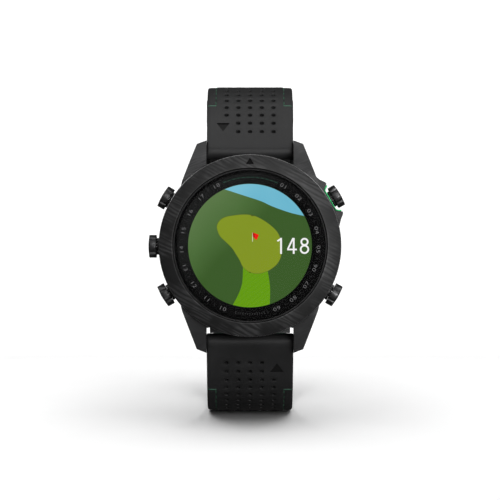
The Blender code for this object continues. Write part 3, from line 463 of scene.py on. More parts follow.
def polar(radius, degrees):
    return (radius * math.cos(math.radians(degrees)), radius * math.sin(math.radians(degrees)))


def circle(radius, count, centre=(0.0, 0.0), start=0.0):
    angles = [start + 2 * math.pi * i / count for i in range(count)]
    return [(centre[0] + radius * math.cos(a), centre[1] + radius * math.sin(a)) for a in angles]


def rounded_box(half_x, half_y, corner, centre=(0.0, 0.0), steps=6):
    outline = []
    for turn, (sx, sy) in enumerate(((1, 1), (-1, 1), (-1, -1), (1, -1))):
        for i in range(steps + 1):
            dx, dy = polar(corner, 90 * turn + 90 * i / steps)
            outline.append((centre[0] + sx * (half_x - corner) + dx, centre[1] + sy * (half_y - corner) + dy))
    return outline


def smooth_curve(points, per_span=8, closed=True):
    """Catmull-Rom curve through a few control points."""
    curve = []
    count = len(points)
    for i in range(count if closed else count - 1):
        around = [(i + k) % count if closed else min(max(i + k, 0), count - 1) for k in (-1, 0, 1, 2)]
        a, b, c, d = [Vector(points[k]) for k in around]
        for k in range(per_span):
            t = k / per_span
            square, cube = 2 * a - 5 * b + 4 * c - d, 3 * b - a - 3 * c + d
            spot = 0.5 * (2 * b + (c - a) * t + square * t * t + cube * t ** 3)
            curve.append((spot.x, spot.y))
    return curve if closed else curve + [tuple(points[-1])]


def radial(angle, height=BUTTON_H):
    """Placement whose Z runs outward from the dial's axis and whose X points up, away from the wrist."""
    turn = Matrix.Rotation(math.radians(angle), 4, "Z")
    lay = Matrix(((0, 0, 1, 0), (0, -1, 0, 0), (1, 0, 0, 0), (0, 0, 0, 1)))
    return Matrix.Translation((0, 0, height)) @ turn @ lay


def refined(node, width_mm, material, body, segments=3, least=30.0):
    """A CAD piece with its triangles merged into flat faces and its edges rounded."""
    bm = bmesh.new()
    bm.from_mesh(frame["nodes"][node].data)
    bmesh.ops.remove_doubles(bm, verts=bm.verts, dist=1e-6)
    bmesh.ops.dissolve_limit(bm, angle_limit=math.radians(0.6), verts=bm.verts, edges=bm.edges)
    bevelled(bm, width_mm * MM, segments, least)
    return finished(bm, node + "_shaped", material, body, (node,), place=IDENTITY)


slots = {entry["node"]: entry["material_slot"] for entry in frame["record"]["subparts"]}

# ------------------------------------------------------------------ case


def lug_solid(side_x, side_y):
    plan = [(10.4, 11.0), (10.4, 27.1), (11.0, 26.9), (13.45, 25.95), (17.08, 16.3), (17.6, 14.0), (16.7, 11.0)]
    flank = [
        (11.0, 12.3), (17.6, 12.3), (21.7, 10.6), (24.9, 8.2), (26.7, 6.4), (27.3, 4.8),
        (27.0, 3.0), (25.7, 1.6), (23.3, 1.1), (18.0, 1.5), (11.0, 3.2),
    ]
    solid = blank(outline_of([(side_x * x, side_y * y) for x, y in plan], -1.0, 14.0))
    upright = Matrix(((0, 0, 1, 0), (side_y, 0, 0, 0), (0, 1, 0, 0), (0, 0, 0, 1)))
    boolean(solid, blank(outline_of(filleted(flank, 0.9, 4), -30.0, 30.0, upright)), "INTERSECT")
    bm = reopened(solid)
    bmesh.ops.remove_doubles(bm, verts=bm.verts, dist=1e-4)
    bmesh.ops.dissolve_limit(bm, angle_limit=math.radians(0.5), verts=bm.verts, edges=bm.edges)
    return blank(bevelled(bm, 0.22, 3, 28.0))


def offset_line(points, distance):
    """Open polyline moved sideways by a distance, with mitred corners."""
    normals = []
    for (ax, ay), (bx, by) in zip(points, points[1:]):
        length = math.hypot(bx - ax, by - ay)
        normals.append(((ay - by) / length, (bx - ax) / length))
    moved = []
    for i, (x, y) in enumerate(points):
        before, after = normals[max(i - 1, 0)], normals[min(i, len(normals) - 1)]
        share = 1 + before[0] * after[0] + before[1] * after[1]
        moved.append(
            (x + distance * (before[0] + after[0]) / share, y + distance * (before[1] + after[1]) / share)
        )
    return moved


RECESS_FACE = [(3.33, 24.5), (2.95, 23.75), (2.6, 23.42), (-2.9, 23.42), (-3.15, 23.75), (-3.6, 24.5)]
SHOULDER_ABOVE = [(6.0, 18.0), (7.75, 23.0), (6.72, 23.16), (5.71, 23.5), (4.59, 24.3), (4.0, 24.55)]
SHOULDER_BELOW = [(-4.2, 24.55), (-4.77, 24.3), (-5.65, 23.18), (-6.9, 22.0), (-5.0, 18.0)]


def beside_button(points):
    """(along, outward) places beside the start button, turned into the dial's plane."""
    cosine, sine = polar(1.0, BUTTONS["start"][0])
    return [(q * cosine - t * sine, q * sine + t * cosine) for t, q in points]


def case_shell():
    profile = filleted(
        [
            (0, 2.3), (20.0, 2.3), (20.9, 3.2), (22.2, 5.4), (22.75, 8.0), (CASE_R, 10.5), (CASE_R, 12.2),
            (22.6, CASE_TOP), (0, CASE_TOP),
        ],
        0.8,
    )
    body = blank(lathe(profile, 160))
    for side_x in (1, -1):
        for side_y in (1, -1):
            boolean(body, lug_solid(side_x, side_y), "UNION")
    shoulder = beside_button(SHOULDER_ABOVE + offset_line(RECESS_FACE, 0.45) + SHOULDER_BELOW)
    boolean(body, blank(bevelled(outline_of(shoulder, 4.6, 11.2), 0.2, 3, 25.0)), "UNION")
    half = math.pi / 160
    cut(body, circle(CAVITY_R, 160, start=half), 4.1, 14.0)
    cut(body, circle(14.2, 96, start=0.013), 0.0, 6.0)
    cut(body, circle(19.5, 160, start=half), -2.0, CASE_BASE)
    for angle, _ in BUTTONS.values():
        cut(body, circle(2.02, 40, start=0.07), CAVITY_R - 1.5, 27.0, radial(angle))
    cut(body, circle(0.5, 24, start=0.07), CAVITY_R - 1.0, 26.0, radial(-75, 9.6))
    edge = STRAP_W / 2 + 0.01
    for side_y in (1, -1):
        near, far = sorted((side_y * POCKET_Y, side_y * 31.0))
        cut(body, box(-edge, edge, near, far), -2.0, 10.4)
        for side_x in (1, -1):
            left, right = sorted((side_x * (BRIDGE_X - 0.2), side_x * edge))
            cut(body, box(left, right, near + 0.3, far - 0.3), 10.0, 13.5)
        near, far = sorted((side_y * 19.7, side_y * BRIDGE_Y))
        bridge = outline_of(box(-BRIDGE_X, BRIDGE_X, near, far), 2.9, 9.6)
        boolean(body, blank(bevelled(bridge, 0.1, 2)), "UNION")
        across = Matrix.Translation((0, side_y * PIN_Y, PIN_H)) @ ACROSS
        cut(body, circle(PIN_R + 0.05, 32, start=0.1), -20.0, 20.0, across)
    bm = reopened(body)
    # Painted shade: the bridge's face under each strap end takes the black mark material, where the strap's end
    # keeps it in shadow.
    for face in bm.faces:
        spot = face.calc_center_median()
        face.material_index = abs(spot.x) < BRIDGE_X + 0.01 and 20.9 < abs(spot.y) < BRIDGE_Y + 0.01
    finished(bm, "case_shell", [CARBON_CASE, MARK_AND_SHADE_BLACK], HEAD, ("case_body",), angle=24)


def bezel_ring():
    """Carbon ring whose outer edge has a fine bright chamfer, with a black mark sunk at 12 o'clock."""
    profile = [
        (BEZEL_IN_R, 12.85), (CASE_R - 0.12, 12.85), (CASE_R, 13.1), (CASE_R, 13.78), (22.79, 13.96),
        (19.72, 14.93), (19.45, 14.95), (BEZEL_IN_R, 14.72),
    ]
    ring = blank(lathe(filleted(profile, 0.04, 2), 256))
    middle = Matrix.Translation((0, 21.2, 14.45))
    slope = middle @ Matrix.Rotation(math.radians(-17.5), 4, "X") @ middle.inverted()
    cut(ring, filleted([(-1.06, 20.33), (1.06, 20.33), (0.0, 22.12)], 0.08, 3), 14.2, 16.0, slope)
    bm = reopened(ring)
    for face in bm.faces:
        spot = face.calc_center_median()
        radius = math.hypot(spot.x, spot.y)
        surface = 14.95 - (radius - 19.72) * 0.316
        sunk = spot.y > 20.3 and abs(spot.x) < 1.1 and radius < 22.2 and 14.0 < spot.z < surface - 0.05
        chamfer = 22.76 < radius < CASE_R - 0.01 and spot.z > 13.7
        # Below a radius of 19.42 mm the inner wall is black as painted shade of the gap over the crystal; the sunk
        # triangle is a real black mark.
        face.material_index = 1 if chamfer else 2 if radius < 19.42 or sunk else 0
    finished(bm, "bezel_ring", [CARBON_BEZEL, EDGE_METAL, MARK_AND_SHADE_BLACK], HEAD, ("bezel",), angle=20)


def head_glass():
    dome = [(18.94 * k / 14, 15.2 - 0.35 * (k / 14) ** 2) for k in range(15)]
    profile = [(0, 13.8), (18.97, 13.8), (CRYSTAL_R, 13.83), (CRYSTAL_R, 14.79)] + dome[::-1]
    finished(lathe(profile, 160), "crystal_dome", crystal_glass(), HEAD, ("crystal",), angle=40)


def number_ring():
    inner = SCREEN_R + 0.05
    bm = lathe(filleted([(inner, 13.6), (18.9, 13.6), (18.9, 13.74), (inner, 13.74)], 0.03, 2), 192)
    finished(bm, "number_ring", RING_BLACK, HEAD, ("dial_ring",))


PRINT_LOW, PRINT_HIGH = 13.745, 13.755  # heights of what is printed on the number ring
PRINT_R = 17.15


def text_mesh(words, size, stretch=1.0):
    """Flat figures as a mesh, thinned a little, centred on their own box."""
    curve = bpy.data.curves.new("words", "FONT")
    curve.body = words
    curve.size = size
    curve.extrude = 0.004
    curve.offset = -0.014 * size
    curve.space_character = 1.12
    curve.resolution_u = 4
    holder = linked("words", curve)
    bpy.context.view_layer.update()
    mesh = bpy.data.meshes.new_from_object(holder.evaluated_get(bpy.context.evaluated_depsgraph_get()))
    bpy.data.objects.remove(holder, do_unlink=True)
    points = [v.co for v in mesh.vertices]
    low = [min(p[i] for p in points) for i in (0, 1)]
    high = [max(p[i] for p in points) for i in (0, 1)]
    centre = Matrix.Translation((-(low[0] + high[0]) / 2, -(low[1] + high[1]) / 2, 0))
    mesh.transform(Matrix.Diagonal((stretch, 1, 1, 1)) @ centre)
    return mesh


def dial_numbers():
    """Hole numbers 01 to 18 round the ring, and generic ticks where nothing is printed."""
    bm = bmesh.new()
    for number in range(1, 19):
        clockwise = 29 + 16 * (number - 1) if number < 10 else 203 + 16 * (number - 10)
        turn = -clockwise if number <= 5 or number >= 14 else 180 - clockwise
        mesh = text_mesh(f"{number:02d}", 1.33, 1.38)
        x, y = polar(PRINT_R, 90 - clockwise)
        mesh.transform(Matrix.Translation((x, y, 13.752)) @ Matrix.Rotation(math.radians(turn), 4, "Z"))
        bm.from_mesh(mesh)
    finished(bm, "dial_numbers", NUMBER_PRINT_PAINTED_GLOW, HEAD, ())
    ticks = [(-21 - 16 * k, 0.035, 16.85, 17.5) for k in range(1, 10)]
    ticks += [(-195 - 16 * k, 0.035, 16.85, 17.5) for k in range(1, 9)]
    for k in range(-6, 7):
        half = 0.2 if k % 3 else 0.375
        ticks.append((180 + 2.0 * k, 0.05, PRINT_R - half, PRINT_R + half))
    bm = bmesh.new()
    for turn, half_width, near, far in ticks:
        place = Matrix.Rotation(math.radians(turn), 4, "Z")
        outline_of(box(-half_width, half_width, near, far), PRINT_LOW, PRINT_HIGH, place, bm)
    finished(bm, "dial_ticks", TICK_PRINT_PAINTED_GLOW, HEAD, ())
    bm = bmesh.new()
    for start in range(-23, 23, 4):
        inner, outer = [[polar(r, 90 - start - 2.6 * k / 4) for k in range(5)] for r in (17.05, 17.25)]
        outline_of(outer + inner[::-1], PRINT_LOW, PRINT_HIGH, bm=bm)
    finished(bm, "dial_green_arc", ARC_PRINT_PAINTED_GLOW, HEAD, ())


def flat_region(name, points, height, material):
    finished(outline_of(points, height, height + 0.012), name, material, HEAD, ())


def ribbon(bm, points, width, low, high, closed=False):
    """Adds a flat strip of even width along a line."""
    last = len(points) - 1
    loops = []
    for i, (x, y) in enumerate(points):
        ax, ay = points[i - 1 if closed else max(i - 1, 0)]
        bx, by = points[(i + 1) % (last + 1) if closed else min(i + 1, last)]
        length = math.hypot(bx - ax, by - ay)
        nx, ny = (ay - by) / length * width / 2, (bx - ax) / length * width / 2
        corners = ((-1, low), (1, low), (1, high), (-1, high))
        loops.append([bm.verts.new((x + nx * k, y + ny * k, h)) for k, h in corners])
    skinned(bm, loops, closed=closed, caps=not closed)


def clipped_by_screen(points, radius):
    """Pulls points that lie beyond the lit disc back onto its rim."""
    inside = []
    for x, y in points:
        away = math.hypot(x, y)
        inside.append((x * radius / away, y * radius / away) if away > radius else (x, y))
    return inside


def course_display():
    """The display shows one hole: rough, water, green with its flag, fairway and a distance."""
    top = 13.70
    profile = [(0, 12.35), (17.4, 12.35), (17.4, 13.35), (SCREEN_R, 13.35), (SCREEN_R, top), (0, top)]
    finished(lathe(profile, 160), "display_face", rough_grass(), HEAD, ("display_panel",))
    rim = SCREEN_R - 0.01
    shore = smooth_curve(
        [(-6.6, 14.2), (-2.0, 12.7), (2.6, 11.2), (5.2, 10.0), (7.8, 9.0), (10.6, 8.1), (13.7, 7.4)],
        8, closed=False,
    )
    start, end = [math.degrees(math.atan2(y, x)) for x, y in (shore[0], shore[-1])]
    arc = [polar(rim, end + (start - end) * k / 48) for k in range(49)]
    water = lit("course_water", ((0.215, 0.590, 0.750), (0.165, 0.530, 0.700)), scale=70.0)
    flat_region("course_water_area", [p for p in shore if math.hypot(*p) < rim] + arc, top + 0.004, water)
    green_shape = [
        (-8.25, 4.3), (-8.1, 5.4), (-7.3, 6.5), (-5.9, 7.2), (-4.2, 7.5), (-2.0, 7.75), (0.1, 7.65), (1.9, 7.1),
        (4.0, 5.9), (6.0, 4.3), (7.2, 2.7), (7.75, 0.6), (7.8, -2.3), (6.9, -4.4), (5.4, -5.75), (4.0, -6.5),
        (2.3, -6.95), (0.6, -6.85), (-0.8, -6.2), (-1.9, -5.1), (-2.6, -3.6), (-3.6, -2.0), (-4.5, -0.6),
        (-6.0, 0.9), (-7.5, 2.4),
    ]
    outline = smooth_curve(green_shape, 6)
    rimmed = [(x * 1.012, (y - 0.3) * 1.012 + 0.3) for x, y in outline]
    edge = lit("course_green_edge", ((0.11, 0.15, 0.02), (0.13, 0.17, 0.02)))
    flat_region("course_green_rim", rimmed, top + 0.010, edge)
    green = lit("course_green", ((0.340, 0.440, 0.036), (0.250, 0.335, 0.016)), scale=28.0, stops=(0.3, 0.62))
    flat_region("course_green_area", outline, top + 0.016, green)
    left = smooth_curve([(-1.75, -5.4), (-1.85, -8.3), (-2.1, -10.0), (-2.9, -12.2), (-4.35, -14.95)], 6, False)
    right = smooth_curve([(4.4, -6.1), (4.85, -8.9), (5.05, -11.3), (4.95, -14.7)], 6, False)
    low = [polar(rim, a) for a in range(-105, -71, 3)]
    fairway = left + [p for p in low if left[-1][0] < p[0] < right[-1][0]] + right[::-1]
    flat_region("course_fairway_area", clipped_by_screen(fairway, rim), top + 0.007, mown_fairway())
    mark = lit("course_mark", ((0.05, 0.07, 0.01), (0.06, 0.08, 0.01)))
    bm = bmesh.new()
    for x, y, wide in ((0.55, 7.5, 0.30), (0.0, -6.72, 0.22), (0.72, 0.62, 0.12)):
        oval = [(x + wide * px, y + wide * 0.55 * py) for px, py in circle(1.0, 16)]
        outline_of(oval, top + 0.030, top + 0.036, bm=bm)
    finished(bm, "course_marks", mark, HEAD, ())
    pole = lit("course_pole", ((0.70, 0.74, 0.50), (0.82, 0.84, 0.66)))
    flat_region("course_flag_pole", [(0.56, 1.0), (0.70, 1.0), (0.72, 3.3), (0.58, 3.3)], top + 0.034, pole)
    red = lit("course_flag_red", ((0.72, 0.004, 0.002), (0.93, 0.010, 0.004)), scale=400.0)
    dark_red = lit("course_flag_shade", ((0.42, 0.004, 0.002), (0.55, 0.006, 0.003)), scale=400.0)
    fold = [(0.62, 3.42), (1.28, 2.86), (1.30, 1.62), (0.68, 2.30)]
    flat_region("course_flag_fold", fold, top + 0.040, dark_red)
    cloth = [(0.95, 3.22), (2.22, 2.72), (2.05, 2.28), (1.72, 1.42), (1.10, 1.75), (1.18, 2.4)]
    flat_region("course_flag_cloth", cloth, top + 0.052, red)
    white = lit("distance_white", ((0.94, 0.95, 0.94), (1.0, 1.0, 1.0)))
    digits = bmesh.new()
    low, high = top + 0.060, top + 0.068
    strokes = (
        ((7.78, 1.92), (7.78, -2.08), 0.46), ((7.9, 1.74), (6.85, 1.12), 0.40),
        ((10.95, 1.92), (10.95, -2.08), 0.46), ((10.82, 1.86), (9.48, -0.86), 0.42),
        ((9.3, -0.98), (11.75, -0.98), 0.42),
    )
    for start, end, width in strokes:
        ribbon(digits, [start, end], width, low, high)
    for middle, half_x, half_y in ((0.93, 0.80, 0.78), (-0.94, 0.95, 0.93)):
        ring = [(13.65 + half_x * x, middle + half_y * y) for x, y in circle(1.0, 40)]
        ribbon(digits, ring, 0.44, low, high, closed=True)
    finished(digits, "distance_digits", white, HEAD, ())


# The number ring's figures, ticks and green arc are print that glows: painted light, since the ring has no lamp of
# its own.
NUMBER_PRINT_PAINTED_GLOW = lit("number_print_painted_glow", ((0.135, 0.135, 0.138), (0.165, 0.165, 0.168)), base=(0.05, 0.05, 0.05))
TICK_PRINT_PAINTED_GLOW = lit("tick_print_painted_glow", ((0.020, 0.020, 0.021), (0.030, 0.030, 0.031)), base=(0.04, 0.04, 0.04))
ARC_PRINT_PAINTED_GLOW = lit("green_arc_print_painted_glow", ((0.006, 0.020, 0.014), (0.009, 0.028, 0.018)), base=(0.02, 0.06, 0.04))

# ------------------------------------------------------------------ back


SCREWS = [polar(15.9, angle) for angle in (45, 135, 225, 315)]
CONTACTS_Y = -11.7


def back_plate():
    profile = [
        (8.3, 0.62), (9.8, 0.6), (17.4, 0.6), (18.9, 1.05), (19.3, 1.85), (19.3, 2.65), (18.8, 2.65), (18.8, 2.1),
        (9.3, 2.1), (9.3, 1.0), (8.3, 1.0),
    ]
    plate = blank(lathe(filleted(profile, 0.18, 3), 144))
    for centre in SCREWS:
        cut(plate, circle(0.75, 24, centre), 0.0, 3.0)
        cut(plate, circle(1.3, 36, centre), 0.0, 1.35)
    cut(plate, rounded_box(3.9, 1.5, 0.7, (0, CONTACTS_Y)), 0.0, 3.0)
    boolean(plate, blank(lathe(box(14.05, 14.25, 0.0, 0.68), 144)))
    finished(reopened(plate), "back_plate", TITANIUM, HEAD, ("back_cover",), angle=25)

    crown = filleted([(0, 0.0), (7.2, 0.0), (8.0, 0.3), (8.2, 1.05), (9.1, 1.05), (9.1, 1.6), (0, 1.6)], 0.25, 4)
    finished(lathe(crown, 128), "sensor_glass", dark_glass(), HEAD, ("sensor_window",), angle=40)
    bm = bmesh.new()
    for x, y, r in ((0, 0, 1.15), (3.4, 0, 0.62), (-3.4, 0, 0.62), (0, 3.4, 0.62), (0, -3.4, 0.62)):
        lathe(filleted(box(0, r, -0.001, 0.05), 0.01, 2), 32, Matrix.Translation((x, y, 0)), bm=bm)
    tint = plastic("sensor_emitter", (0.03, 0.05, 0.035), rough=(0.12, 0.2))
    finished(bm, "sensor_emitters", tint, HEAD, ())

    shank = filleted([(0, 0.7), (1.2, 0.7), (1.2, 1.3), (0.55, 1.3), (0.55, 3.9), (0, 3.9)], 0.12, 3)
    star = filleted([polar(0.62 if k % 2 else 0.44, 30 * k) for k in range(12)], 0.1, 2)
    for i, centre in enumerate(SCREWS):
        place = Matrix.Translation((*centre, 0))
        screw = blank(lathe(shank, 40, place))
        cut(screw, star, 0.4, 1.1, place)
        node = f"back_cover_screw_{i + 1}"
        finished(reopened(screw), node + "_turned", STEEL, HEAD, (node,))

    block = bevelled(outline_of(rounded_box(3.8, 1.4, 0.65, (0, CONTACTS_Y)), 0.95, 3.2), 0.12, 2)
    finished(block, "contact_block", BLACK_PLASTIC, HEAD, ("charging_contacts",))
    bm = bmesh.new()
    for i in range(4):
        place = Matrix.Translation((-2.4 + 1.6 * i, CONTACTS_Y, 0))
        lathe(filleted(box(0, 0.45, 0.75, 3.6), 0.12, 3), 28, place, bm=bm)
    finished(bm, "contact_pins", GOLD, HEAD, ())


# ------------------------------------------------------------------ buttons


def coil(place, low, high):
    """Compression spring that seats in the bush and leaves the cap room for its press."""
    turns, steps, coil_r, wire_r = 3.5, 84, 1.25, 0.15
    bm = bmesh.new()
    rings = []
    for i in range(steps + 1):
        around = place @ Matrix.Rotation(2 * math.pi * turns * i / steps, 4, "Z")
        height = low + wire_r + (high - low - 2 * wire_r) * i / steps
        rings.append([bm.verts.new(around @ Vector((x, 0, z))) for x, z in circle(wire_r, 8, (coil_r, height))])
    return skinned(bm, rings)


def fluted(places, half_width, first, last):
    """Shapes a lathe's rings, from one to another, with flutes centred on some angles."""
    def shaped(angle, index, radius):
        away = min(abs((math.degrees(angle) - place + 180) % 360 - 180) for place in places)
        depth = 0.30 * min(1.0, 1.5 * max(0.0, 1 - (away / half_width) ** 2))
        return radius - depth if first <= index <= last else radius

    return shaped


def button_set():
    grip = fluted((32, -32, 106, -106, 180), 9.0, 5, 10)
    ribs = fluted(range(0, 360, 30), 8.5, 5, 7)
    for name, (angle, shift) in BUTTONS.items():
        button, place = f"{name}_button", radial(angle)
        inner, outer = 23.52 + shift, 25.35 + shift
        profile = [
            (0.0, 18.4), (0.8, 18.4), (0.8, 24.7 + shift), (2.35, 24.7 + shift), (2.35, inner), (2.78, inner),
            (2.84, inner + 0.05), (2.87, inner + 0.12), (2.87, outer - 0.10), (2.83, outer - 0.01),
            (2.74, outer + 0.06), (2.4, outer + 0.10), (1.8, outer + 0.17), (1.0, outer + 0.25), (0.0, outer + 0.30),
        ]
        cap = lathe(profile, 180, place, grip)
        finished(cap, f"{button}_cap", BUTTON_METAL, button, (button,), angle=50)
        profile = [
            (0.87, 19.12), (1.95, 19.12), (1.95, 22.95 + shift), (2.15, 22.95 + shift), (2.15, 23.03 + shift),
            (2.13, 23.06 + shift), (2.13, 23.41 + shift), (2.08, 23.45 + shift), (1.65, 23.45 + shift),
            (1.65, 21.0), (0.87, 21.0),
        ]
        collar = lathe(profile, 180, place, ribs)
        finished(collar, f"{button}_collar", BUTTON_METAL, HEAD, (f"{button}_bush",), angle=50)
        spring = coil(place, 21.1, 24.04 + shift)
        finished(spring, f"{button}_coil", STEEL, HEAD, (f"{button}_spring",), angle=60)
    refined("guard_inlay", 0.08, GREEN_METAL, HEAD, 2, 35.0)


# ------------------------------------------------------------------ strap


START_SLOPE = 39.0  # the strap's slope at its lug pin, in degrees
EASE_FROM, EASE_TO = 1.8, 15.8  # path lengths between which its bend tightens


def heading(s, curve):
    """Slope of the strap's outer face at path length s, in degrees below the dial's plane."""
    ease, bend, widest, arcs = curve
    slope = START_SLOPE + ease * (min(max(s, EASE_FROM), EASE_TO) - EASE_FROM) ** 2
    slope += bend * max(0.0, min(s, widest) - EASE_TO)
    left = max(0.0, s - widest)
    for length, radius in arcs:
        used = min(left, length)
        slope += math.degrees(used / radius)
        left -= used
    return slope


class Path:
    """The strap's outer face in the (distance from the dial's centre, height) plane."""

    STEP = 0.25

    def __init__(self, curve, length, side):
        self.curve, self.length, self.side = curve, length, side
        first = math.radians(START_SLOPE)
        v, h = PIN_Y + END_R * math.sin(first), PIN_H + END_R * math.cos(first)
        self.points = [(v, h)]
        for i in range(int((length + 20) / self.STEP)):
            slope = math.radians(heading((i + 0.5) * self.STEP, curve))
            v += self.STEP * math.cos(slope)
            h -= self.STEP * math.sin(slope)
            self.points.append((v, h))

    def frame(self, s):
        slope = math.radians(heading(s, self.curve))
        along = Vector((0, math.cos(slope), -math.sin(slope)))
        out = Vector((0, math.sin(slope), math.cos(slope)))
        if s <= 0:
            point = Vector((0, *self.points[0])) + along * s
        else:
            i = min(int(s / self.STEP), len(self.points) - 2)
            a, b = self.points[i], self.points[i + 1]
            t = s / self.STEP - i
            point = Vector((0, a[0] + (b[0] - a[0]) * t, a[1] + (b[1] - a[1]) * t))
        return point, along, out

    def at(self, x, s, depth):
        """A point of the strap: across, along and below its outer face, in the dial frame."""
        point, _, out = self.frame(s)
        p = point - out * depth
        return Vector((x, self.side * p.y, p.z))

    def place(self, s, depth=0.0):
        """Placement at a point of the strap: X across it, Y along it, Z out of it."""
        point, along, out = self.frame(s)
        columns = [(1, 0, 0, 0), (*along, 0), (*out, 0), (*(point - out * depth), 1)]
        return Matrix.Diagonal((1, self.side, 1, 1)) @ Matrix(columns).transposed()


UPPER = Path(UPPER_CURVE, UPPER_LEN, 1)
LOWER = Path(LOWER_CURVE, LOWER_LEN, -1)


TAPER, TAPER_FROM, TAPER_LEN = 2.0, 32.0, 30.0  # how much the strap narrows, from where, over what length


def strap_width(s):
    return STRAP_W - TAPER * min(1.0, max(0.0, (s - TAPER_FROM) / TAPER_LEN))


def eased(value, low, high):
    t = min(1.0, max(0.0, (value - low) / (high - low)))
    return t * t * (3 - 2 * t)


def strap_depth(s):
    return 2 * END_R + (STRAP_T - 2 * END_R) * eased(s, 2.0, 14.0)


CELL = 3.0
FIRST_CELL = 3.8  # path length where the first row of perforations begins its cell
PITCH = CELL / 4
HOLE_R = 0.56
ACCENT_S = 15.0  # path length of the green line; the side strips are sunk beyond it
STITCH_X = 8.72
TAIL = 8.0  # length of the lower half's rounded tip
BUCKLE_END = 3.6  # length of the upper half's thick end, which holds the buckle's pin
FULL_DEPTH = 1.4  # a section thinner than this is squeezed as a whole
HOLES, HOLE_STEP, HOLE_FROM_TIP = 7, 6.0, 18.0  # buckle holes in the lower half
INNER_X = [-7.5 + PITCH * i for i in range(21)]


def strap_columns(s, bottom, sunk):
    """Loop of (x, depth) points round the strap's section."""
    half = strap_width(s) / 2 - 0.012
    strip = 0.14 * sunk
    right = [
        (7.95, 0.0), (8.4, 0.01), (STITCH_X - 0.17, strip * 0.3), (STITCH_X, strip * 2), (STITCH_X + 0.18, strip),
        (9.25, strip), (half - 0.85, strip + 0.01), (half - 0.42, strip + 0.06), (half - 0.16, strip + 0.20),
        (half - 0.03, strip + 0.45), (half, strip + 0.75), (half, bottom - 0.55), (half - 0.06, bottom - 0.25),
        (half - 0.25, bottom - 0.06), (half - 0.5, bottom),
    ]
    floor = [(half * k / 4 * 0.9, bottom) for k in (3, 1, -1, -3)]
    return [(x, 0.0) for x in INNER_X] + right + floor + [(-x, d) for x, d in right[::-1]]


def strap_rows(length, rounded_tail):
    """The strap's sections: path length, top, bottom, how far the side strips are sunk, share of the width."""
    rows = []
    for angle in range(84, 0, -12):
        half, back = polar(END_R, angle)
        rows.append((-back, END_R - half, END_R + half, 0.0, 1.0))
    total = int((length - FIRST_CELL) / PITCH)
    marks = [0.0, 0.75, 1.5, 2.25, 3.05] + [FIRST_CELL + PITCH * i for i in range(total + 1)]
    for s in marks:
        if s < length - 0.2:
            bottom = strap_depth(s) - (LINING_T + 0.05 if s > 9.0 else 0.0)
            if not rounded_tail and s > UPPER_LEN - BUCKLE_END:
                bottom = 2 * BUCKLE_END_R
            rows.append((s, 0.0, bottom, eased(s, ACCENT_S - 0.1, ACCENT_S + 0.5), 1.0))
    if rounded_tail:
        for i in range(10):
            reach, narrow = TAIL * math.sin(math.radians(9.8 * i)), math.cos(math.radians(8.7 * i))
            rows.append((length + reach, 0.0, STRAP_T - LINING_T - 0.05, 1.0, narrow))
    else:
        for angle in range(0, 85, 12):
            half, ahead = polar(BUCKLE_END_R, angle)
            rows.append((length + ahead, BUCKLE_END_R - half, BUCKLE_END_R + half, 1.0, 1.0))
    return rows


def strap_skin(path, length, cells, missing, rounded_tail):
    """The strap's outer layer: smooth shoulders, sunk side strips, and rows of blind perforations."""
    rows = strap_rows(length, rounded_tail)
    bm = bmesh.new()
    grid = []
    for s, top, bottom, sunk, narrow in rows:
        thick, deep = max(bottom - top, 0.05), max(bottom, FULL_DEPTH)
        ring = []
        for x, depth in strap_columns(s, deep, sunk):
            real = top + depth / deep * thick if top > 0 or bottom < FULL_DEPTH else depth
            ring.append(bm.verts.new(path.at(x * narrow, s, real)))
        grid.append(ring)
    first_row = next(i for i, row in enumerate(rows) if abs(row[0] - FIRST_CELL) < 1e-6)
    holed = {(k, column) for k in range(cells) for column in range(5)} - missing
    corners = {(k, column): (first_row + 4 * k, 4 * column) for k, column in holed}
    skinned(bm, grid, skip={(r + i, c + j) for r, c in corners.values() for i in range(4) for j in range(4)})
    wall = ((HOLE_R + 0.10, 0.0), (HOLE_R + 0.03, 0.03), (HOLE_R, 0.10), (HOLE_R, 0.95), (HOLE_R * 0.6, 1.0))
    for (k, column), (r, c) in corners.items():
        border = [grid[r][c + i] for i in range(4)] + [grid[r + i][c + 4] for i in range(4)]
        border += [grid[r + 4][c + 4 - i] for i in range(4)] + [grid[r + 4 - i][c] for i in range(4)]
        centre = (INNER_X[c] + CELL / 2, FIRST_CELL + CELL * (k + 0.5))
        loops = [border]
        for radius, depth in wall:
            ring = circle(radius, 16, centre, math.radians(-135))
            loops.append([bm.verts.new(path.at(x, s, depth)) for x, s in ring])
        skinned(bm, loops, caps=False)
        bm.faces.new(loops[-1])
    return bm


def triangle_mark(path, x):
    """Cutter for the sunk triangle beside the first perforations, pointing at the case; its faces take a darker
    rubber as painted shade of the recess.
    """
    points = filleted([(x - 1.7, 1.45), (x + 1.7, 1.45), (x, -1.5)], 0.14, 3)
    return blank(outline_of(points, -0.30, 1.0, path.place(FIRST_CELL + CELL + 0.1)), SUNK_RUBBER_PAINTED_SHADE, DIAL)


def cut_lug_end(strap, path):
    """Room for the quick-release clip and the lug pin, as in the CAD."""
    at_pin = path.place(0.0, END_R)
    sideways = Matrix(((0, 0, 1, 0), (1, 0, 0, 0), (0, 1, 0, 0), (0, 0, 0, 1)))
    slot = [polar(1.65, 9.0 * i) for i in range(21)] + [(-1.65, -4.0), (1.65, -4.0)]
    cut(strap, slot, -9.6, 9.6, at_pin @ sideways, DIAL)
    cut(strap, box(-7.6, 7.6, 1.0, 7.4), -4, -0.25, at_pin, DIAL)
    cut(strap, circle(0.95, 32, start=0.05), -15, 15, at_pin @ ACROSS, DIAL)


def cut_tail_holes(thing, path):
    for i in range(HOLES):
        place = path.place(path.length - HOLE_FROM_TIP - HOLE_STEP * i)
        cut(thing, rounded_box(1.35, 1.1, 0.9), -5.0, 2.0, place, DIAL)


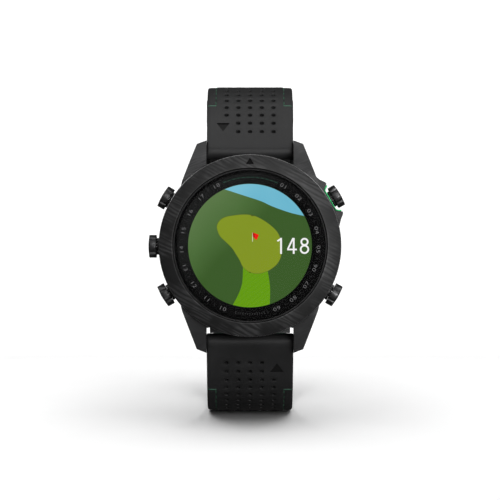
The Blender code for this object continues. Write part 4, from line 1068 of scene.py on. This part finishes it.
def strap_lining(path, end):
    """The green layer on the wrist's side."""
    start = 9.1
    count = int((end - start) / 1.2)
    bm = bmesh.new()
    rows = []
    for i in range(count + 1):
        s = start + (end - start) * i / count
        bottom, half = strap_depth(s), strap_width(s) / 2 - 0.45
        top = bottom - LINING_T
        section = [(half * k, top) for k in (-1, -0.5, 0, 0.5, 1)] + [
            (half, top + 0.3), (half - 0.08, bottom - 0.12), (half - 0.3, bottom - 0.02), (half * 0.6, bottom),
            (0, bottom), (-half * 0.6, bottom), (0.3 - half, bottom - 0.02), (0.08 - half, bottom - 0.12),
            (-half, top + 0.3),
        ]
        rows.append([bm.verts.new(path.at(x, s, d)) for x, d in section])
    return skinned(bm, rows)


def strap_half(name, path, cells, missing, mark_x, rounded_tail):
    length = path.length
    skin = strap_skin(path, length - TAIL if rounded_tail else length, cells, missing, rounded_tail)
    strap = blank(skin, [RUBBER, SUNK_RUBBER_PAINTED_SHADE], DIAL)
    boolean(strap, triangle_mark(path, mark_x))
    cut_lug_end(strap, path)
    lining = blank(strap_lining(path, length - (9.5 if rounded_tail else 3.9)), LINING, DIAL)
    if rounded_tail:
        cut_tail_holes(strap, path)
        cut_tail_holes(lining, path)
    else:
        hub = path.place(length, BUCKLE_END_R)
        cut(strap, box(-1.6, 1.6, -3.2, 4), -4, 4, hub, DIAL)
        cut(strap, circle(0.8, 32, start=0.05), -15, 15, hub @ ACROSS, DIAL)
    skin, lining = reopened(strap), reopened(lining)
    finished(skin, f"{name}_skin", [RUBBER, SUNK_RUBBER_PAINTED_SHADE], name, (name,), 38, IDENTITY)
    finished(lining, f"{name}_lining_skin", LINING, name, (f"{name}_lining",), 38, IDENTITY)
    accents(name, path)
    stitching(name, path, FIRST_CELL + CELL * cells)


def accents(name, path):
    """The thin green line that crosses each side strip and wraps over the strap's edge."""
    bm = bmesh.new()
    half = strap_width(ACCENT_S) / 2 - 0.04
    over = [
        (STITCH_X - 0.1, 0.0), (9.3, 0.0), (half - 0.85, 0.01), (half - 0.42, 0.06), (half - 0.16, 0.20),
        (half - 0.03, 0.45), (half, 0.75), (half, 1.5),
    ]
    for sign in (1, -1):
        loops = []
        for ds, rise in ((-0.16, -0.05), (-0.13, 0.02), (0.13, 0.02), (0.16, -0.05), (0.0, -0.12)):
            loop = []
            for x, depth in over:
                outward = min(1.0, depth / 0.75)
                down = 0.12 if ds == 0.0 else -rise * (1 - outward)
                loop.append(bm.verts.new(path.at(sign * (x + rise * outward), ACCENT_S + ds, depth + down)))
            loops.append(loop)
        skinned(bm, loops, around=False, closed=True, caps=False)
        bm.faces.new([loop[0] for loop in loops])
        bm.faces.new([loop[-1] for loop in loops][::-1])
    finished(bm, f"{name}_accent_line", ACCENT, name, (), angle=40)


def stitching(name, path, end):
    """Short threads sunk in the groove beside each side strip."""
    bm = bmesh.new()
    for sign in (1, -1):
        s = ACCENT_S + 1.4
        while s < end:
            loops = []
            for i in range(9):
                t = i / 4 - 1
                radius = 0.11 * math.sqrt(max(0.0, 1 - t ** 6)) + 0.01
                section = circle(radius, 8, (0.0, 0.21 + 0.12 * t ** 4), 0.35 * t)
                loops.append([bm.verts.new(path.at(sign * STITCH_X + x, s + 0.75 * t, d)) for x, d in section])
            skinned(bm, loops)
            s += 2.6
    finished(bm, f"{name}_stitches", STITCH, name, (), angle=60)


def turned_pin(radius, half_length, rounding, segments, place):
    return lathe(filleted(box(0, radius, -half_length, half_length), rounding, 3), segments, place)


def strap_metal():
    for prefix, path in (("upper", UPPER), ("lower", LOWER)):
        refined(f"{prefix}_strap_clip", 0.12, BLACK_METAL, f"{prefix}_strap", 2)
        refined(f"{prefix}_release_latch", 0.12, BLACK_METAL, f"{prefix}_release_latch", 3)
        bm = turned_pin(PIN_R, 13.4, 0.15, 48, Matrix.Translation((0, path.side * PIN_Y, PIN_H)) @ ACROSS)
        finished(bm, f"{prefix}_lug_pin_turned", STEEL, HEAD, (f"{prefix}_lug_pin",), angle=40)
    bm = turned_pin(BUCKLE_PIN_R, 12.0, 0.12, 40, UPPER.place(UPPER_LEN, BUCKLE_END_R) @ ACROSS)
    finished(bm, "buckle_pin_turned", STEEL, "upper_strap", ("buckle_pin",), angle=40)
    refined("buckle_frame", 0.42, BLACK_METAL, "buckle_frame", 4, 35.0)
    refined("buckle_tongue", 0.22, BLACK_METAL, "buckle_tongue", 3, 35.0)
    refined("fixed_keeper", 0.3, RUBBER, "upper_strap", 3, 35.0)
    refined("free_keeper", 0.3, RUBBER, "free_keeper", 3, 35.0)


# ------------------------------------------------------------------ build

case_shell()
bezel_ring()
number_ring()
dial_numbers()
course_display()
head_glass()
back_plate()
button_set()
strap_half("upper_strap", UPPER, 13, {(0, 0), (1, 0)}, -6.85, False)
strap_half("lower_strap", LOWER, 14, {(0, 4), (1, 4)}, 6.85, True)
strap_metal()

for node, slot_name in slots.items():
    thing = bpy.data.objects[node]
    if not thing.hide_render:
        materials = thing.data.materials
        if not materials:
            materials.append(None)
        for i in range(len(materials)):
            materials[i] = SLOT_MATERIALS[slot_name]

# ------------------------------------------------------------------ floor, light and camera

LEAN = 7.0  # the watch stands leaning back, so the paper under it rises away from the camera, in degrees
STEP = 0.01
BEND_AHEAD, BEND_BEHIND = (-0.22, -0.10), (0.06, 0.20)  # where the floor turns from level to leaning and back
SWEEP_Y, SWEEP_R = 1.2, 1.0  # where the floor turns up into the backdrop, and how tightly


def studio():
    """Pale paper floor that the leaning watch stands on, swept up into a far backdrop."""
    bm = bmesh.new()
    slope = math.tan(math.radians(LEAN))
    points = [v.co for thing in frame["nodes"].values() for v in thing.data.vertices]
    height = min(p.z - slope * p.y for p in points)
    place = 0.0
    behind, ahead = [(place, height)], []
    while place < 0.22:
        height += STEP * slope * (1 - eased(place + STEP / 2, *BEND_BEHIND))
        place += STEP
        behind.append((place, height))
    for k in range(17):
        dy, dz = polar(SWEEP_R, -90 + 90 * k / 16)
        behind.append((SWEEP_Y + dy, height + SWEEP_R + dz))
    behind.append((SWEEP_Y + SWEEP_R, height + 2.6))
    place, height = behind[0]
    while place > -0.24:
        height -= STEP * slope * eased(place - STEP / 2, *BEND_AHEAD)
        place -= STEP
        ahead.append((place, height))
    ahead.append((-1.6, height))
    sweep = ahead[::-1] + behind
    edges = [[bm.verts.new((x, y, z)) for y, z in sweep] for x in (2.5, -2.5)]
    skinned(bm, edges, around=False, caps=False)
    mesh = bpy.data.meshes.new("pale_sweep")
    bm.to_mesh(mesh)
    bm.free()
    floor = linked("pale_sweep", mesh)
    mesh.materials.append(floor_paper())
    mesh.shade_smooth()
    floor.visible_glossy = False
    return floor


def studio_air():
    """Soft light from all round, fuller in front and to the upper right, dim below and behind."""
    world = bpy.data.worlds.new("studio_air")
    world.use_nodes = True
    tree = world.node_tree
    direction = tree.nodes.new("ShaderNodeTexCoord").outputs["Generated"]
    along = tree.nodes.new("ShaderNodeVectorMath")
    along.operation = "DOT_PRODUCT"
    along.inputs[1].default_value = Vector((0.42, -0.80, 0.43))
    ramp = tree.nodes.new("ShaderNodeValToRGB")
    stops = ((0.0, 0.05), (0.45, 0.12), (0.95, 0.55))
    ramp.color_ramp.elements.new(0.5)
    for element, (place, tone) in zip(ramp.color_ramp.elements, stops):
        element.position = place
        element.color = (tone, tone, tone, 1.0)
    tree.links.new(direction, along.inputs[0])
    tree.links.new(along.outputs["Value"], ramp.inputs["Fac"])
    tree.links.new(ramp.outputs["Color"], tree.nodes["Background"].inputs["Color"])
    bpy.context.scene.world = world


def area_light(name, place, aim, width, height, watts):
    light = bpy.data.lights.new(name, "AREA")
    light.shape = "RECTANGLE"
    light.size, light.size_y = width, height
    light.energy = watts
    lamp = linked(name, light)
    lamp.location = place
    lamp.rotation_euler = (Vector(aim) - Vector(place)).to_track_quat("-Z", "Y").to_euler()
    return lamp


def light_for(lamp, floor, state):
    """Lets a light fall on the floor alone, or on everything but the floor."""
    group = bpy.data.collections.new(f"{lamp.name}_receivers")
    group.objects.link(floor)
    lamp.light_linking.receiver_collection = group
    group.collection_objects[0].light_linking.link_state = state


paper = studio()
studio_air()
watch_lights = [
    area_light("front_softbox", (0.15, -1.1, 0.50), (0, 0, 0), 0.9, 0.35, 6.0),
    area_light("low_right_softbox", (0.35, -0.95, 0.02), (0, 0, 0), 0.3, 0.2, 5.0),
    area_light("top_softbox", (0.0, -0.05, 1.0), (0, 0, 0), 0.8, 0.6, 3.2),
    area_light("left_softbox", (-0.9, 0.1, 0.8), (0, 0, -0.02), 0.5, 0.5, 4.0),
    area_light("right_softbox", (0.9, 0.1, 0.8), (0, 0, -0.02), 0.5, 0.5, 3.0),
]
for lamp in watch_lights:
    light_for(lamp, paper, "EXCLUDE")
light_for(area_light("floor_softbox", (0.0, -0.35, 1.3), (0, -0.35, 0), 1.6, 2.2, 31.0), paper, "INCLUDE")
area_light("backdrop_light", (0.0, 1.2, 1.5), (0, 1.9, 0.0), 3.0, 1.2, 14.0).data.spread = math.radians(110)

DISTANCE, ELEVATION = 0.8, -1.75
FRAME_WIDTH = 0.1252
aim = Vector((0.0, -0.014, -0.00112))
tilt = math.radians(ELEVATION)
camera_data = bpy.data.cameras.new("camera")
camera_data.lens = 36.0 * DISTANCE / FRAME_WIDTH
camera_data.clip_start, camera_data.clip_end = 0.01, 20.0
camera = linked("camera", camera_data)
camera.location = aim + DISTANCE * Vector((0, -math.cos(tilt), math.sin(tilt)))
camera.rotation_euler = (aim - camera.location).to_track_quat("-Z", "Y").to_euler()
bpy.context.scene.camera = camera
bpy.context.scene.view_settings.view_transform = "Standard"

import json
